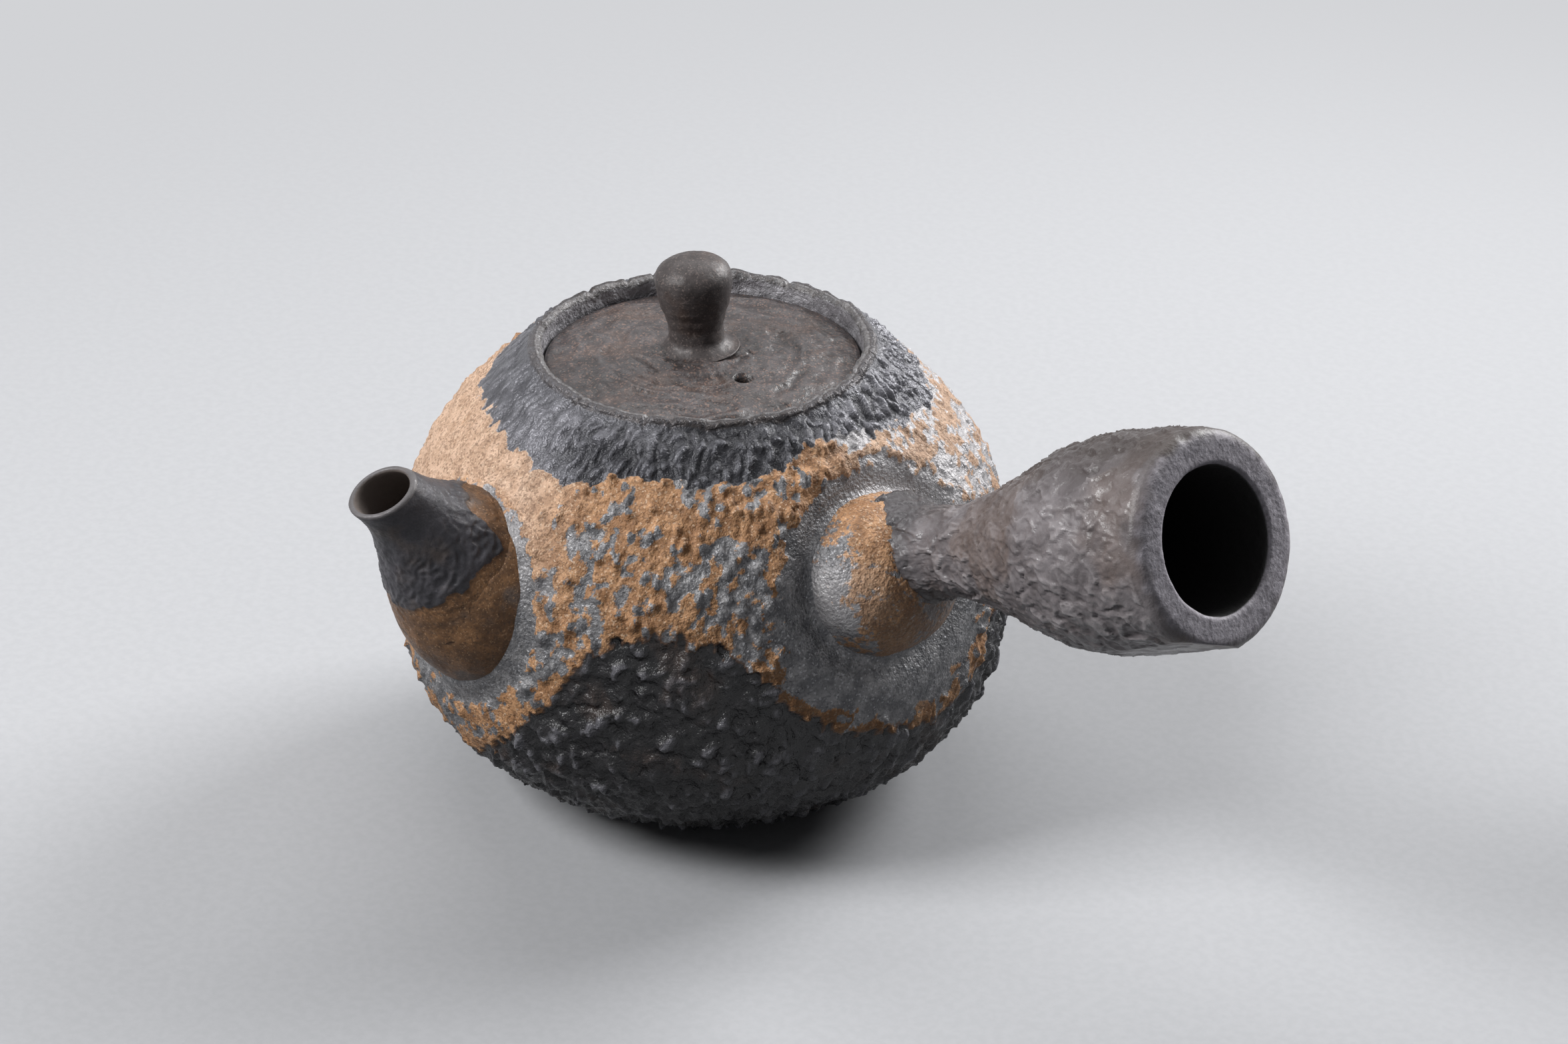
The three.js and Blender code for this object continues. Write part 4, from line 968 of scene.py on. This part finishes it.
def inner_clay():
    look = Look("inner_clay")
    patch, fine = look.noise(4, 4), look.noise(0.5, 3)
    color = look.mix(look.band(patch, 0.3, 0.7), (92, 83, 79), (118, 109, 105))
    return look.finish(color, 0.78, look.bumps((patch, 0.25, 0.3), (fine, 0.4, 0.1)))


# The scene

def dress(piece, look, body, slot, *replaced):
    piece.data.materials.clear()
    piece.data.materials.append(look)
    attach(piece, body)
    for node in replaced:
        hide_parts(node)


wall_look = wall_clay()
dress(pot_body(), wall_look, "pot", "wall_clay", "pot_body")
dress(handle_boss(), wall_look, "pot", "socket_clay", "handle_socket")
spout_look = spout_clay()
dress(spout_root(), spout_look, "pot", "root_clay", "spout_root")
dress(spout_tube(), spout_look, "pot", "spout_clay", "spout")
dress(handle(), taupe_clay(), "pot", "handle_clay", "handle")
dress(lid_disc(), lid_clay(), "lid", "lid_clay", "lid_plate")
dress(knob(), knob_clay(), "lid", "knob_clay", "lid_knob")
inner_look = inner_clay()
for name in ("strainer", "lid_flange"):
    nodes[name].data.materials.clear()
    nodes[name].data.materials.append(inner_look)

# The camera and the light, in metres and degrees
VIEW_TURN, VIEW_DOWN, VIEW_PLACE = 45.6, 27.27, (0.3991, -0.37419, 0.32061)
LENS, SENSOR_WIDTH = 94.78, 36
LIGHT_AIM = Vector((0, 0, 0.035))
FLOOR_HALF = 4
BACKDROP, FAINT_SKY = screen(210, 211, 214), (0.05, 0.051, 0.053, 1)
to_right, to_viewer = from_axis(1, VIEW_TURN, 0), from_axis(1, VIEW_TURN - 90, 0)


def seen(right, near, up):
    """A place given as the camera sees it: to the right, towards the viewer and up, in metres."""
    return Vector(right * to_right + near * to_viewer + (0, 0, up))


def lamp(name, at, size, watts):
    light = bpy.data.lights.new(name, "AREA")
    light.shape, light.size, light.size_y = "RECTANGLE", *size
    light.energy = watts
    obj = linked(name, light)
    obj.location = at
    obj.rotation_euler = (LIGHT_AIM - at).to_track_quat("-Z", "Y").to_euler()


def background_rays(tree):
    """1 for the rays that show the background: to the camera, in a gloss or through glass."""
    path = tree.nodes.new("ShaderNodeLightPath").outputs
    most = path["Is Camera Ray"]
    for ray in ("Is Glossy Ray", "Is Transmission Ray"):
        either = tree.nodes.new("ShaderNodeMath")
        either.operation = "MAXIMUM"
        tree.links.new(most, either.inputs[0])
        tree.links.new(path[ray], either.inputs[1])
        most = either.outputs[0]
    return most


lamp("key_left", seen(-0.6, 0.2, 0.58), (0.36, 0.36), 7.0)
lamp("rim_right", seen(0.52, -0.4, 0.42), (0.36, 0.36), 6.5)
lamp("top_back", seen(-0.05, -0.4, 0.75), (0.7, 0.3), 2.3)


def floor_paper():
    """Pale paper that fades into the backdrop, and lights the pot as grey paper would."""
    look = Look("floor_paper")
    shown = background_rays(look.tree)
    paper = look.mix(look.band(look.noise(1.5, 3), 0.3, 0.7), (180, 181, 184), (184, 185, 188))
    paper = look.mix(shown, (58, 59, 61), paper)
    distance = look.add("ShaderNodeVectorMath", {0: look.place}, operation="LENGTH").outputs["Value"]
    glow = look.times(look.band(distance, 0.1, 0.4), shown)
    paper = look.mix(glow, paper, (0, 0, 0))
    grain = look.bumps((look.noise(0.4, 2), 0.1, 0.05))
    look.put(look.shader.inputs["Emission Color"], BACKDROP)
    return look.finish(paper, 0.9, grain, Emission_Strength=glow, Specular_IOR_Level=0.0)


floor_mesh = bpy.data.meshes.new("floor")
corners = [(FLOOR_HALF * x, FLOOR_HALF * y, 0) for x, y in ((-1, -1), (1, -1), (1, 1), (-1, 1))]
floor_mesh.from_pydata(corners, [], [(0, 1, 2, 3)])
floor_mesh.materials.append(floor_paper())
floor = linked("floor", floor_mesh)

world = bpy.data.worlds.new("studio")
world.use_nodes = True
sky = world.node_tree.nodes.new("ShaderNodeMix")
sky.data_type = "RGBA"
sky.inputs[6].default_value = FAINT_SKY
sky.inputs[7].default_value = BACKDROP
world.node_tree.links.new(background_rays(world.node_tree), sky.inputs["Factor"])
world.node_tree.links.new(sky.outputs[2], world.node_tree.nodes["Background"].inputs["Color"])
bpy.context.scene.world = world

camera_data = bpy.data.cameras.new("camera")
camera_data.lens, camera_data.sensor_width, camera_data.sensor_fit = LENS, SENSOR_WIDTH, "HORIZONTAL"
camera_data.clip_start, camera_data.clip_end = 0.01, 20
camera = linked("camera", camera_data)
camera.location = VIEW_PLACE
camera.rotation_euler = (math.radians(90 - VIEW_DOWN), 0, math.radians(VIEW_TURN))
bpy.context.scene.camera = camera
bpy.context.scene.view_settings.view_transform = "Standard"
